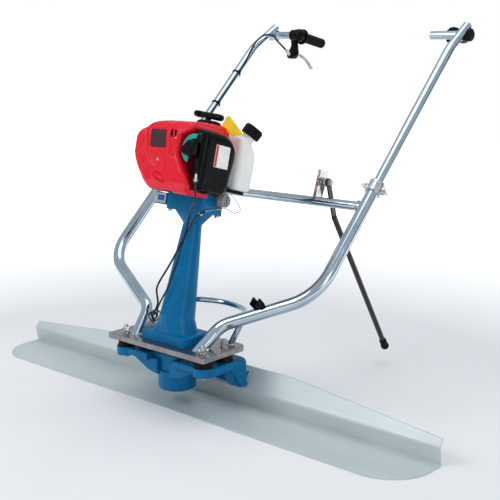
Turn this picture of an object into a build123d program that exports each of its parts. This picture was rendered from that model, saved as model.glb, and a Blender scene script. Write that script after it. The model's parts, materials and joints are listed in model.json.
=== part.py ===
from build123d import *
import os
from math import atan2, cos, hypot, radians, sin, tan

# Vibrating finishing screed: blade, exciter, leaning drive column, engine and folding handle frame.
# World frame: X along the blade, +Y towards the operator, +Z up, origin on the ground at the blade's centre.
# Lengths are in millimetres. "Column frame" means the leaning frame whose z runs up the drive column.

# ---------------------------------------------------------------- driving dimensions
BLADE_LENGTH = 1260
BLADE_FRONT = -67
CREASE_Y = 68
BLADE_SHEET = 3
BLADE_CORNER = 98
RIDGE_Y = 61
RIDGE_Z = 40
FLANGE_SLOPE = 0.8
WEB_TOP = 83
WEB_END = 54
WEB_FLAT_HALF = 240

EXCITER_Y = -15
EXCITER_RADIUS = 43
EXCITER_BOTTOM = 36

PLATE_LENGTH = 303
PLATE_FRONT = -86
PLATE_BACK = 50
PLATE_TOP = 149
PLATE_THICKNESS = 12
PLATE_BOTTOM = PLATE_TOP - PLATE_THICKNESS
RUBBER_HEIGHT = 19
EAR_TOP = PLATE_BOTTOM - RUBBER_HEIGHT
MOUNT_PLACES = [(-122, -57), (122, -57), (-124, 8), (124, 8)]

LEAN = 14.25
AXES_MEET_Z = 185
COLUMN_TOP = 256
HEAD_TOP = 290
COLUMN_BOTTOM_RADIUS = 40
COLUMN_NECK_RADIUS = 21
COLUMN_NECK = 223

SHAFT_RADIUS = 7.45
BEARING_OUTER = 17.5
BEARING_INNER = 7.5
BEARING_WIDTH = 11

RAIL_RADIUS = 14
RAIL_BORE = 11.3
TUBE_RADIUS = 11
TUBE_BORE = 9.5
RAIL_FOOT = (99, -41, PLATE_TOP)
RAIL_BEND = (115, 8, 195)
RAIL_KNEE = (320, 80, 280)
TUBE_BEND = (311, 599, 787)
TUBE_TIP = (306, 689, 842)
COLLAR_AT = 292
CLAMP_TURN = 26
CROSS_TUBE_AT = 239
CROSS_TUBE_RADIUS = 10.5
TUBE_INSERTION = 150
LEFT_EXTENSION = 11

BAR_Y = 680
BAR_Z = 820
BAR_RADIUS = 10.5
BAR_INNER_END = 213
BAR_OUTER_END = 322
EYE_LIMITS = (293, 319)
GRIP_LENGTH = 90
GRIP_RADIUS = 13.5
GRIP_START = 18
RIGHT_STUB = 267
RIGHT_GRIP_DROP = 3
RIGHT_GRIP_TOE_IN = 10
LEFT_STUB = 220
LEFT_GRIP_DROP = 12
LEFT_GRIP_TOE_IN = 4.5

LEVER_X = -224
LEVER_WIDTH = 6
LEVER_PIVOT = (682, 766)
LEVER_TIP = (750, 732)
CABLE_RADIUS = 2.5
CABLE_TURN = 20

STAND_X = 198
STAND_PIVOT = (278, 488)
STAND_BEND = (303, 404)
STAND_FOOT = (531, 45)
STAND_STOWED = 285
LEG_RADIUS = 6.5
STAND_BOLT_RADIUS = 5
CLIP_Y = 30

COVER_LEFT = -103
COVER_RIGHT = 36
COVER_FRONT = -120
COVER_BACK = -8
COVER_BOTTOM = 284
COVER_TOP = 438
RECOIL_RADIUS = 50
ROPE_PLACE = (-18, 14)
CLEANER_LEFT = 40
CLEANER_RIGHT = 97
CLEANER_FRONT = -105
CLEANER_BACK = 8
CLEANER_BOTTOM = 293
CLEANER_TOP = 424
TANK_LEFT = -70
TANK_RIGHT = 60
TANK_FRONT = 54
TANK_BACK = 112
TANK_BOTTOM = 314
TANK_TOP = 438
TANK_SHOULDER_SLOPE = 36
NECK = (44, 82.7, 429.7)
NECK_DIRECTION = (0.348, 0.305, 0.886)
CAP_START = 12
CAP_HEIGHT = 24

# ---------------------------------------------------------------- frames and small helpers
COLUMN_DIRECTION = (0, sin(radians(LEAN)), cos(radians(LEAN)))
COLUMN_FRAME = Plane(origin=(0, EXCITER_Y, AXES_MEET_Z), x_dir=(1, 0, 0), z_dir=COLUMN_DIRECTION)
ON_BASE = (Align.CENTER, Align.CENTER, Align.MIN)


def leaning(shape):
    """Move a shape from the column frame to the world frame."""
    return COLUMN_FRAME.location * shape


def block(x, y, z):
    """Box between two limits on each axis."""
    size = (x[1] - x[0], y[1] - y[0], z[1] - z[0])
    return Pos(x[0], y[0], z[0]) * Box(*size, align=(Align.MIN, Align.MIN, Align.MIN))


def rounded_block(x, y, z, radius, axis=Axis.Z):
    """Box whose edges along one axis are rounded."""
    solid = block(x, y, z)
    return fillet(solid.edges().filter_by(axis), radius)


def rod(start, direction, radius, length):
    """Solid cylinder from a start point along a direction."""
    return Plane(origin=start, z_dir=direction).location * Cylinder(radius, length, align=ON_BASE)


def post(x, y, z, radius):
    """Upright cylinder at (x, y) between two heights."""
    return Pos(x, y, z[0]) * Cylinder(radius, z[1] - z[0], align=ON_BASE)


def along_x(x, y, z, radius):
    """Cylinder along X between two x limits, centred on (y, z)."""
    return rod((x[0], y, z), (1, 0, 0), radius, x[1] - x[0])


def hexagon(start, direction, across_corners, length):
    """Hexagonal prism from a start point along a direction."""
    face = RegularPolygon(across_corners / 2, 6)
    return Plane(origin=start, z_dir=direction).location * extrude(face, length)


def swept(path, radius, bore=0):
    """Round bar or tube that follows a path."""
    start = Plane(origin=path @ 0, z_dir=path % 0)
    solid = sweep(start * Circle(radius), path=path)
    if bore:
        solid -= sweep(start * Circle(bore), path=path)
    return solid


def moved(point, direction, distance):
    """Point shifted along a direction."""
    return tuple(p + d * distance for p, d in zip(point, direction))


def unit(start, end):
    """Unit vector from start to end."""
    step = Vector(*end) - Vector(*start)
    return tuple(step.normalized())


def group(solids):
    """Several separate solids in one node."""
    return Compound(children=list(solids))


def mirrored(shape):
    """The left-hand twin of a right-hand shape."""
    return mirror(shape, about=Plane.YZ)


def save(name, shape):
    """Write one node."""
    export_step(shape, f"parts/{name}.step")


# ---------------------------------------------------------------- blade
FLANGE_DIRECTION = Vector(0, FLANGE_SLOPE, 1).normalized()
FLANGE_NORMAL = (0, FLANGE_DIRECTION.Z, -FLANGE_DIRECTION.Y)
BLADE_BOLT_Z = 62
BLADE_BOLT_X = [-88, -64, 64, 88]
BLADE_BOLT_RADIUS = 4


def flange_y(z):
    """Middle of the blade's upper flange at a height."""
    return RIDGE_Y + FLANGE_SLOPE * (z - RIDGE_Z)


def blade_bolt(x, radius, before, after):
    """Cylinder square to the upper flange, reaching before its back face and after its front face."""
    centre = (x, flange_y(BLADE_BOLT_Z), BLADE_BOLT_Z)
    start = moved(centre, FLANGE_NORMAL, before)
    direction = tuple(-n for n in FLANGE_NORMAL)
    return rod(start, direction, radius, before + after)


def make_blade():
    half = BLADE_LENGTH / 2
    sheet_middle = BLADE_SHEET / 2
    top_z = WEB_TOP + 4
    outline = FilletPolyline(
        (BLADE_FRONT, sheet_middle),
        (CREASE_Y, sheet_middle),
        (RIDGE_Y, RIDGE_Z),
        (flange_y(top_z), top_z),
        radius=[2, 9],
    )
    section = Plane.YZ * trace(outline, BLADE_SHEET)
    blade = extrude(section, half, both=True)
    side = Polyline(
        (-half, -1), (half, -1), (half, WEB_END), (WEB_FLAT_HALF, WEB_TOP), (-WEB_FLAT_HALF, WEB_TOP),
        (-half, WEB_END), close=True,
    )
    blade &= extrude(Plane.XZ * make_face(side), 150, both=True)
    corner_reach = 200
    plan = Pos(0, BLADE_FRONT) * Rectangle(BLADE_LENGTH, corner_reach, align=(Align.CENTER, Align.MIN))
    plan = fillet(plan.vertices().group_by(Axis.Y)[0], BLADE_CORNER)
    blade &= extrude(plan, 200)
    for x in BLADE_BOLT_X:
        blade -= blade_bolt(x, BLADE_BOLT_RADIUS + 0.1, 20, 20)
    return blade


def make_blade_bolts():
    direction = tuple(-n for n in FLANGE_NORMAL)
    bolts = []
    for x in BLADE_BOLT_X:
        centre = (x, flange_y(BLADE_BOLT_Z), BLADE_BOLT_Z)
        back = moved(centre, FLANGE_NORMAL, BLADE_SHEET / 2)
        bolt = blade_bolt(x, BLADE_BOLT_RADIUS, 8, 21)
        bolt += rod(moved(back, FLANGE_NORMAL, 2), direction, 9, 2)
        bolt += hexagon(moved(back, FLANGE_NORMAL, 7), direction, 15, 5)
        front = moved(centre, direction, BLADE_SHEET / 2 + 8)
        bolt += rod(front, direction, 9, 2)
        bolt += hexagon(moved(front, direction, 2), direction, 15, 6)
        bolts.append(bolt)
    return group(bolts)


# ---------------------------------------------------------------- exciter
COVER_JOINT = EXCITER_BOTTOM + 8
ECCENTRIC_BOTTOM = 60
ECCENTRIC_TOP = 86
CUP_BOTTOM = 168
CUP_TOP = 200


def make_blade_lug():
    """Right-hand rib and tab that reach back to the blade's upper flange."""
    gap = 0.05
    contact = (BLADE_SHEET / 2 + gap) * hypot(1, FLANGE_SLOPE)
    depth = 8 * hypot(1, FLANGE_SLOPE)
    foot_z, shoulder_z = 50, 74
    foot_y = flange_y(foot_z) - contact
    shoulder_y = flange_y(shoulder_z) - contact
    rib_outline = Polyline(
        (22, EAR_TOP), (22, 72), (42, foot_z), (foot_y, foot_z), (foot_y - 8, shoulder_z), (59, 108), (52, EAR_TOP),
        close=True,
    )
    rib = Pos(110, 0, 0) * extrude(Plane.YZ * make_face(rib_outline), 28)
    tab_outline = Polyline(
        (foot_y, foot_z), (shoulder_y, shoulder_z), (shoulder_y - depth, shoulder_z), (foot_y - depth, foot_z),
        close=True,
    )
    return rib + Pos(50, 0, 0) * extrude(Plane.YZ * make_face(tab_outline), 78)


def make_exciter_housing():
    box_bottom = 74
    arm_bottom = EAR_TOP - 16
    housing = rounded_block((-62, 62), (-50, 24), (box_bottom, EAR_TOP), 12)
    housing += post(0, EXCITER_Y, (COVER_JOINT, 80), EXCITER_RADIUS)
    for x, y in MOUNT_PLACES:
        inner = 40 if x > 0 else -40
        housing += rounded_block(sorted((inner, x)), (y - 14, y + 14), (arm_bottom, EAR_TOP), 4, Axis.X)
        housing += post(x, y, (arm_bottom - 3, EAR_TOP), 22)
    lug = make_blade_lug()
    housing += lug
    housing += mirrored(lug)
    housing -= post(0, EXCITER_Y, (COVER_JOINT - 1, 95), 34)
    housing -= post(0, EXCITER_Y, (90, 95 + BEARING_WIDTH), BEARING_OUTER)
    housing -= post(0, EXCITER_Y, (90, EAR_TOP + 1), 12)
    for x, y in MOUNT_PLACES:
        housing -= post(x, y, (60, EAR_TOP + 1), 5.1)
    direction = tuple(-n for n in FLANGE_NORMAL)
    for x in BLADE_BOLT_X:
        housing -= blade_bolt(x, BLADE_BOLT_RADIUS + 0.1, 0, 40)
        centre = (x, flange_y(BLADE_BOLT_Z), BLADE_BOLT_Z)
        housing -= rod(moved(centre, direction, BLADE_SHEET / 2 + 7.9), direction, 11, 34)
    return housing


def make_exciter_cover():
    cover = post(0, EXCITER_Y, (EXCITER_BOTTOM, COVER_JOINT), EXCITER_RADIUS)
    cover = fillet(cover.edges().group_by(Axis.Z)[0], 6)
    cover += post(0, EXCITER_Y, (COVER_JOINT, COVER_JOINT + 13), 22)
    return cover - post(0, EXCITER_Y, (COVER_JOINT + 2, COVER_JOINT + 14), BEARING_OUTER)


def make_eccentric_shaft():
    shaft = post(0, EXCITER_Y, (COVER_JOINT + 3, CUP_BOTTOM), SHAFT_RADIUS)
    shaft += post(0, EXCITER_Y, (CUP_BOTTOM - 4, CUP_TOP), 18)
    return shaft - post(0, EXCITER_Y, (CUP_BOTTOM + 4, CUP_TOP + 1), 13.5)


def make_eccentric_weight():
    weight = post(0, EXCITER_Y, (ECCENTRIC_BOTTOM, ECCENTRIC_TOP), 30)
    weight -= block((-31, 31), (EXCITER_Y, EXCITER_Y + 31), (ECCENTRIC_BOTTOM - 1, ECCENTRIC_TOP + 1))
    weight += post(0, EXCITER_Y, (ECCENTRIC_BOTTOM, ECCENTRIC_TOP), 13)
    return weight - post(0, EXCITER_Y, (ECCENTRIC_BOTTOM - 1, ECCENTRIC_TOP + 1), SHAFT_RADIUS)


def bearing():
    ring = Cylinder(BEARING_OUTER, BEARING_WIDTH, align=ON_BASE)
    ring -= Cylinder(BEARING_INNER, BEARING_WIDTH, align=ON_BASE)
    for z in (0, BEARING_WIDTH):
        groove = Cylinder(14.5, 1.6) - Cylinder(10.5, 1.6)
        ring -= Pos(0, 0, z) * groove
    return ring


CRANK_BEARINGS = (293, 392)
COLUMN_BEARINGS = (30, COLUMN_TOP - BEARING_WIDTH)


def make_bearings():
    rings = [Pos(0, EXCITER_Y, z) * bearing() for z in (COVER_JOINT + 2, 95)]
    rings += [leaning(Pos(0, 0, z) * bearing()) for z in COLUMN_BEARINGS + CRANK_BEARINGS]
    return group(rings)


def make_rubber_mounts():
    mounts = []
    for x, y in MOUNT_PLACES:
        profile = Polyline((5.1, EAR_TOP), (20, EAR_TOP), (20, EAR_TOP + 3))
        profile += ThreePointArc((20, EAR_TOP + 3), (18, EAR_TOP + RUBBER_HEIGHT / 2), (20, PLATE_BOTTOM - 3))
        profile += Polyline((20, PLATE_BOTTOM - 3), (20, PLATE_BOTTOM), (5.1, PLATE_BOTTOM), (5.1, EAR_TOP))
        ring = revolve(Plane.XZ * make_face(profile), Axis.Z)
        mounts.append(Pos(x, y, 0) * ring)
    return group(mounts)


def make_mount_bolts():
    bolts = []
    for x, y in MOUNT_PLACES:
        bolt = post(x, y, (91, 167), 5)
        bolt += post(x, y, (PLATE_TOP, PLATE_TOP + 2), 9.5)
        bolt += hexagon((x, y, PLATE_TOP + 2), (0, 0, 1), 17, 7)
        bolt += hexagon((x, y, PLATE_TOP + 9.5), (0, 0, 1), 15, 4)
        bolts.append(bolt)
    return group(bolts)


# ---------------------------------------------------------------- base plate and column
COLUMN_BOLTS = [(-52, -50), (52, -50), (-52, 10), (52, 10)]
HEAD_BOLTS = [(-50, -27), (44, -27), (-50, 27), (44, 27)]
BLOCK_TOP = PLATE_TOP + 20


def make_base_plate():
    half = PLATE_LENGTH / 2
    plate = block((-half, half), (PLATE_FRONT, PLATE_BACK), (PLATE_BOTTOM, PLATE_TOP))
    upright = plate.edges().filter_by(Axis.Z).group_by(Axis.Y)
    plate = fillet(upright[-1], 16)
    plate = fillet(plate.edges().filter_by(Axis.Z).group_by(Axis.Y)[0], 3)
    plate = chamfer(plate.faces().sort_by(Axis.Z)[-1].edges(), 1)
    plate -= post(0, EXCITER_Y, (PLATE_BOTTOM - 1, PLATE_TOP + 1), 22)
    for x, y in MOUNT_PLACES:
        plate -= post(x, y, (PLATE_BOTTOM - 1, PLATE_TOP + 1), 5.1)
    for x, y in COLUMN_BOLTS:
        plate -= post(x, y, (PLATE_BOTTOM - 1, PLATE_TOP + 1), 4.1)
    return plate


def make_column():
    base = rounded_block((-69, 69), (-62, 24), (PLATE_TOP, BLOCK_TOP), 10)
    base = fillet(base.faces().sort_by(Axis.Z)[-1].edges(), 4)
    foot = Pos(0, EXCITER_Y - 3, BLOCK_TOP - 1) * RectangleRounded(98, 76, 30)
    shoulder_at = 14
    ring = COLUMN_FRAME.offset(shoulder_at) * Circle(COLUMN_BOTTOM_RADIUS)
    column = base + loft([foot.face(), ring.face()])
    cone = Cone(COLUMN_BOTTOM_RADIUS, COLUMN_NECK_RADIUS, COLUMN_NECK - shoulder_at, align=ON_BASE)
    column += leaning(Pos(0, 0, shoulder_at) * cone)
    flange_bottom = COLUMN_TOP - 7
    neck = COLUMN_FRAME.offset(COLUMN_NECK) * Circle(COLUMN_NECK_RADIUS)
    head = COLUMN_FRAME.offset(flange_bottom) * (Pos(-2, 0) * RectangleRounded(84, 52, 14))
    column += loft([neck.face(), head.face()])
    column += leaning(rounded_block((-60, 54), (-36, 36), (flange_bottom, COLUMN_TOP), 10))
    column -= post(0, EXCITER_Y, (PLATE_TOP - 1, 206), 28)
    column -= leaning(post(0, 0, (10, COLUMN_TOP + 1), 15))
    for z in COLUMN_BEARINGS:
        column -= leaning(post(0, 0, (z, z + BEARING_WIDTH), BEARING_OUTER))
    for x, y in COLUMN_BOLTS:
        column -= post(x, y, (PLATE_TOP - 1, PLATE_TOP + 12), 4.1)
    for x, y in HEAD_BOLTS:
        column -= leaning(post(x, y, (flange_bottom - 1, COLUMN_TOP + 1), 3.1))
    return column


def make_column_bolts():
    bolts = []
    for x, y in COLUMN_BOLTS:
        bolt = post(x, y, (PLATE_BOTTOM - 1, PLATE_TOP + 11), 4)
        bolts.append(bolt + hexagon((x, y, PLATE_BOTTOM - 6), (0, 0, 1), 14, 6))
    for x, y in HEAD_BOLTS:
        bolt = post(x, y, (COLUMN_TOP - 8, COLUMN_TOP + 10), 3)
        bolts.append(leaning(bolt + hexagon((x, y, COLUMN_TOP - 12), (0, 0, 1), 11, 5)))
    return group(bolts)


# ---------------------------------------------------------------- clutch head and drive line
HEAD_LEFT = -60
HEAD_RIGHT = 52
HEAD_HALF_DEPTH = 36
DRUM_FLOOR = 260
DRUM_RADIUS = 31
DRUM_BORE = 28.6


def make_clutch_housing():
    limits = (-HEAD_HALF_DEPTH, HEAD_HALF_DEPTH)
    head = rounded_block((HEAD_LEFT, HEAD_RIGHT), limits, (COLUMN_TOP, HEAD_TOP), 8)
    head -= post(0, 0, (COLUMN_TOP - 1, HEAD_TOP + 1), 33)
    for x, y in HEAD_BOLTS:
        head -= post(x, y, (COLUMN_TOP - 1, COLUMN_TOP + 11), 3.1)
    return leaning(head)


def make_head_side_plate():
    plate = rounded_block((-101, HEAD_LEFT), (-34, 10), (COLUMN_TOP + 1, COVER_BOTTOM - 0.5), 5)
    return leaning(plate)


def make_drive_shaft():
    shaft = Sphere(11) + post(0, 0, (0, DRUM_FLOOR + 2), SHAFT_RADIUS)
    return leaning(shaft)


def make_clutch_drum():
    drum = post(0, 0, (DRUM_FLOOR, 286), DRUM_RADIUS)
    drum -= post(0, 0, (DRUM_FLOOR + 3, 287), DRUM_BORE)
    drum += post(0, 0, (COLUMN_TOP + 1, DRUM_FLOOR), 11)
    return leaning(drum - post(0, 0, (COLUMN_TOP, DRUM_FLOOR + 4), SHAFT_RADIUS))


def make_clutch_shoes():
    shoes = post(0, 0, (266, 283), DRUM_BORE - 0.6) - post(0, 0, (265, 284), 10.2)
    gap = block((-3, 3), (-40, 40), (265, 284))
    return group(leaning(shoe) for shoe in (shoes - gap).solids())


# ---------------------------------------------------------------- engine
CASE_HALF_WIDTH = 32
CASE_FRONT = -40
CASE_BACK = 45
CASE_TOP = 403
CYLINDER_LEVEL = 346
SHELL = 2.5
REEL_POST = 6
OIL_AXIS = (14, 284)
CARB_CENTRE = (50, -53)
CHOKE_CENTRE = (70, 378)


def make_crankcase():
    case = rounded_block((-CASE_HALF_WIDTH, CASE_HALF_WIDTH), (CASE_FRONT, CASE_BACK), (300, CASE_TOP), 8)
    case += rounded_block((HEAD_LEFT + 4, CLEANER_LEFT - 0.5), (-34, CASE_BACK), (HEAD_TOP, 304), 8)
    oil_y, oil_z = OIL_AXIS
    case += block((HEAD_RIGHT + 0.5, 62), (oil_y - 13, oil_y + 13), (oil_z - 13, CLEANER_BOTTOM - 0.5))
    case += block((20, 62), (CLEANER_BACK + 0.5, oil_y + 13), (HEAD_TOP, 304))
    case -= post(0, 0, (304, 392), 28)
    case -= post(0, 0, (HEAD_TOP - 1, CASE_TOP + 1), 12)
    for z in CRANK_BEARINGS:
        case -= post(0, 0, (z, z + BEARING_WIDTH), BEARING_OUTER)
    case -= rod((0, CASE_FRONT + 30, CYLINDER_LEVEL), (0, -1, 0), 19.5, 60)
    return leaning(case)


def make_crankshaft():
    web_gap = (340, 352)
    crank = post(0, 0, (266, web_gap[0]), SHAFT_RADIUS) + post(0, 0, (266, 284), 10)
    crank += post(0, 0, (web_gap[1], 420), SHAFT_RADIUS)
    crank += post(0, 0, (330, web_gap[0]), 25) + post(0, 0, (web_gap[1], 362), 25)
    crank += post(0, -13, (335, 357), 7)
    return leaning(crank)


def make_flywheel():
    wheel = post(0, 0, (405, 414), 44) + post(0, 0, (405, 420), 14)
    blade_count = 12
    fin = block((18, 43), (-1.5, 1.5), (413, 421))
    for index in range(blade_count):
        wheel += Rot(0, 0, index * 360 / blade_count) * fin
    return leaning(wheel - post(0, 0, (404, 422), SHAFT_RADIUS))


def make_cylinder():
    core = rod((0, CASE_FRONT, CYLINDER_LEVEL), (0, -1, 0), 25, 64)
    fin_pitch = 8
    for index in range(8):
        y = CASE_FRONT - 3 - index * fin_pitch
        core += rounded_block((-31, 31), (y - 3, y), (CYLINDER_LEVEL - 34, CYLINDER_LEVEL + 34), 1, Axis.Y)
    return leaning(core - rod((0, CASE_FRONT + 1, CYLINDER_LEVEL), (0, -1, 0), 19.5, 56))


def make_muffler():
    box = rounded_block((-102, -42), (-4, 48), (312, 396), 10)
    box += rod((-72, 48, 330), (0, 1, -0.6), 6, 4)
    box += block((-43, -CASE_HALF_WIDTH), (4, 30), (330, 360))
    box -= rounded_block((-100, -44), (-2, 46), (314, 394), 8)
    return leaning(box)


def make_engine_cover():
    def body(inset):
        x = (COVER_LEFT + inset, COVER_RIGHT - inset)
        z = (COVER_BOTTOM + inset, COVER_TOP - inset)
        y_back = COVER_BACK if inset == 0 else COVER_BACK + 1
        solid = block(x, (COVER_FRONT + inset, y_back), z)
        long_edges = solid.edges().filter_by(Axis.Y)
        left = long_edges.group_by(Axis.X)[0]
        solid = fillet(left, 44 - inset)
        solid = fillet(solid.edges().filter_by(Axis.Y).group_by(Axis.X)[-1], 10 - inset)
        return fillet(solid.faces().sort_by(Axis.Y)[0].edges(), 9 - inset)

    cover = body(0) - body(SHELL)
    cover -= post(0, 0, (400, COVER_TOP + 1), RECOIL_RADIUS + 1)
    cover -= block((20, COVER_RIGHT + 1), (-78, COVER_BACK + 1), (318, 382))
    cover -= block((HEAD_LEFT - 3, COVER_RIGHT + 1), (-46, COVER_BACK + 1), (COVER_BOTTOM - 1, 306))
    return leaning(cover)


def make_starter_cover():
    cup = post(0, 0, (404, 455), RECOIL_RADIUS)
    cup = fillet(cup.edges().group_by(Axis.Z)[-1], 6)
    cup -= post(0, 0, (403, 452), RECOIL_RADIUS - 3)
    cup += post(0, 0, (424, 453), REEL_POST)
    cup += post(*ROPE_PLACE, (452, 459), 6)
    cup -= post(*ROPE_PLACE, (440, 461), 2.4)
    return leaning(cup)


def make_starter_pulley():
    reel = post(0, 0, (425, 438), 30)
    groove = post(0, 0, (429, 434), 31) - post(0, 0, (428, 435), 23)
    return leaning(reel - groove - post(0, 0, (424, 439), REEL_POST + 0.06))


def make_starter_handle():
    x, y = ROPE_PLACE
    bar = rounded_block((x - 44, x + 44), (y - 9, y + 9), (462, 478), 7.5)
    bar = fillet(bar.faces().filter_by(Axis.Z).edges(), 3.5)
    bar += post(x, y, (459.2, 464), 7)
    return leaning(bar - post(x, y, (459, 470), 2))


def make_starter_rope():
    return leaning(post(*ROPE_PLACE, (441, 470), 2))


def make_air_cleaner_cover():
    def body(inset, left):
        x = (left, CLEANER_RIGHT - inset)
        y = (CLEANER_FRONT + inset, CLEANER_BACK - inset)
        z = (CLEANER_BOTTOM + inset, CLEANER_TOP - inset)
        solid = block(x, y, z)
        corners = solid.edges().filter_by(Axis.X)
        back_top = corners.group_by(Axis.Y)[-1].group_by(Axis.Z)[-1]
        solid = fillet(back_top, 52 - inset)
        solid = fillet(solid.edges().filter_by(Axis.X).group_by(Axis.Z)[0], 16 - inset)
        solid = fillet(solid.faces().sort_by(Axis.X)[-1].edges(), 12 - inset)
        return solid

    cover = body(0, CLEANER_LEFT) - body(SHELL, CLEANER_LEFT - 1)
    cover -= post(0, 0, (400, 460), RECOIL_RADIUS + 1)
    cover -= post(*CARB_CENTRE, (CLEANER_BOTTOM - 1, CLEANER_BOTTOM + 6), 12)
    return leaning(cover)


def make_air_filter():
    return leaning(rounded_block((72, 92), (-92, -6), (306, 400), 6))


def make_carburettor():
    x, y = CARB_CENTRE
    body = block((CASE_HALF_WIDTH + 0.5, x + 14), (y - 16, y + 16), (334, 366))
    body += post(x, y, (326, 334), 12)
    body -= post(x, y, (325, 334), 8.3)
    body -= rod((CASE_HALF_WIDTH - 1, y, 350), (1, 0, 0), 7, 60)
    body += post(x, y, (366, 374), 2.5)
    return leaning(body)


def make_throttle_arm():
    x, y = CARB_CENTRE
    arm = post(x, y, (367, 372), 6) + block((x - 3.5, x + 3.5), (y - 20, y), (369, 371.5))
    arm += post(x, y - 20, (369, 375), 3.5)
    return leaning(arm - post(x, y, (366, 373), 2.56))


def make_choke_lever():
    x, z = CHOKE_CENTRE
    front = CLEANER_FRONT - 1
    sector = rod((x, front, z), (0, -1, 0), 33, 3) - rod((x, front + 1, z), (0, -1, 0), 21, 5)
    sector &= block((x - 40, x - 4), (front - 4, front + 1), (z - 31, z + 31))
    sector += block((x - 24, x + 4), (front - 3, front), (z - 4, z + 4))
    sector += rod((x, front, z), (0, -1, 0), 6, 3)
    sector += rounded_block((x - 28, x - 9), (front - 19, front - 3), (z - 13, z + 13), 5)
    return leaning(sector)


def make_primer_bulb():
    x, y = CARB_CENTRE
    bulb = post(x, y, (316, 328), 8)
    return leaning(fillet(bulb.edges().group_by(Axis.Z)[0], 6))


def make_fuel_tank():
    def body(inset):
        x = (TANK_LEFT + inset, TANK_RIGHT - inset)
        y = (TANK_FRONT + inset, TANK_BACK - inset)
        z = (TANK_BOTTOM + inset, TANK_TOP - inset)
        solid = block(x, y, z)
        shoulder = solid.edges().filter_by(Axis.X).group_by(Axis.Y)[-1].group_by(Axis.Z)[-1]
        solid = chamfer(shoulder, 40 * tan(radians(TANK_SHOULDER_SLOPE)), 40)
        return fillet(solid.edges(), 9 - inset)

    neck_base = moved(NECK, NECK_DIRECTION, -12)
    tank = body(0) + rod(neck_base, NECK_DIRECTION, 15, 34)
    tank -= body(SHELL)
    tank -= rod(neck_base, NECK_DIRECTION, 12, 40)
    return leaning(tank)


def make_fuel_cap():
    cap = rod(moved(NECK, NECK_DIRECTION, CAP_START), NECK_DIRECTION, 23, CAP_HEIGHT)
    cap = fillet(cap.edges().sort_by(Axis.Z)[-1], 3)
    cap -= rod(moved(NECK, NECK_DIRECTION, CAP_START - 1), NECK_DIRECTION, 15.08, 12)
    return leaning(cap)


def make_tank_bracket():
    tray = rounded_block((-42, 42), (CASE_BACK + 0.5, 110), (306, TANK_BOTTOM - 0.5), 8)
    tray += block((-30, 30), (CASE_BACK + 0.5, TANK_FRONT - 0.5), (306, 360))
    return leaning(tray)


def make_oil_cap():
    y, z = OIL_AXIS
    cap = along_x((62.5, 78), y, z, 15)
    cap = fillet(cap.edges().group_by(Axis.X)[-1], 4)
    cap += block((77, 82), (y - 2, y + 2), (z - 10, z + 10))
    return leaning(cap)


# ---------------------------------------------------------------- handle frame
RAIL_DIRECTION = unit(RAIL_KNEE, TUBE_BEND)
TIP_DIRECTION = unit(TUBE_BEND, TUBE_TIP)
COLLAR_CENTRE = moved(RAIL_KNEE, RAIL_DIRECTION, COLLAR_AT)
CROSS_TUBE_CENTRE = moved(RAIL_KNEE, RAIL_DIRECTION, CROSS_TUBE_AT)
CLAMP_AXIS = (
    cos(radians(CLAMP_TURN)),
    RAIL_DIRECTION[2] * sin(radians(CLAMP_TURN)),
    -RAIL_DIRECTION[1] * sin(radians(CLAMP_TURN)),
)
BRACE_POINT = (162, 35, 226)
STRUT_TOP = (168, 27, 217)
STRUT_FOOT = (121, 30, PLATE_TOP)


def rail_path():
    below_plate = moved(RAIL_FOOT, unit(RAIL_BEND, RAIL_FOOT), 25)
    rail_end = moved(COLLAR_CENTRE, RAIL_DIRECTION, 10)
    return FilletPolyline(below_plate, RAIL_BEND, RAIL_KNEE, rail_end, radius=[50, 100])


def above_plate(shape):
    return shape - block((-400, 400), (-300, 300), (0, PLATE_TOP))


def make_right_rail():
    return above_plate(swept(rail_path(), RAIL_RADIUS, RAIL_BORE))


def make_cross_tube():
    reach = CROSS_TUBE_CENTRE[0]
    tube = along_x((-reach, reach), CROSS_TUBE_CENTRE[1], CROSS_TUBE_CENTRE[2], CROSS_TUBE_RADIUS)
    bore = CROSS_TUBE_RADIUS - 1.5
    tube -= along_x((-reach - 1, reach + 1), CROSS_TUBE_CENTRE[1], CROSS_TUBE_CENTRE[2], bore)
    full_rail = swept(rail_path(), RAIL_RADIUS)
    return tube - full_rail - mirrored(full_rail)


def make_rear_braces():
    """Curved brace from the right rail to the back of the column, and a strut under each rail."""
    full_rail = swept(rail_path(), RAIL_RADIUS)
    curve = FilletPolyline(BRACE_POINT, (70, 71, 227), (-4, 26, 231), radius=[50])
    curved = swept(curve, 6) - full_rail - make_column()
    strut = swept(Line(moved(STRUT_FOOT, unit(STRUT_TOP, STRUT_FOOT), 20), STRUT_TOP), 7)
    strut = above_plate(strut) - full_rail
    curved_body = max(curved.solids(), key=lambda solid: solid.volume)
    strut_body = max(strut.solids(), key=lambda solid: solid.volume)
    return group([curved_body, strut_body, mirrored(strut_body)])


def make_rail_collars():
    start = moved(COLLAR_CENTRE, RAIL_DIRECTION, -14)
    ring = rod(start, RAIL_DIRECTION, 18, 28)
    centre = COLLAR_CENTRE
    ring += rod(moved(centre, CLAMP_AXIS, -24), CLAMP_AXIS, 9, 48)
    ring -= swept(rail_path(), RAIL_RADIUS)
    ring -= rod(moved(start, RAIL_DIRECTION, -40), RAIL_DIRECTION, 11.2, 100)
    ring -= rod(moved(centre, CLAMP_AXIS, -30), CLAMP_AXIS, 4.1, 60)
    return group([ring, mirrored(ring)])


def make_collar_bolts():
    bolts = []
    for side in (-1, 1):
        direction = tuple(side * component for component in CLAMP_AXIS)
        bolt = rod(moved(COLLAR_CENTRE, direction, 14.2), direction, 4, 14)
        bolt += hexagon(moved(COLLAR_CENTRE, direction, 24.2), direction, 14, 7)
        bolts += [bolt, mirrored(bolt)]
    return group(bolts)


def bar_eye(x_limits, radius):
    return along_x(x_limits, BAR_Y, BAR_Z, radius)


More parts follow.
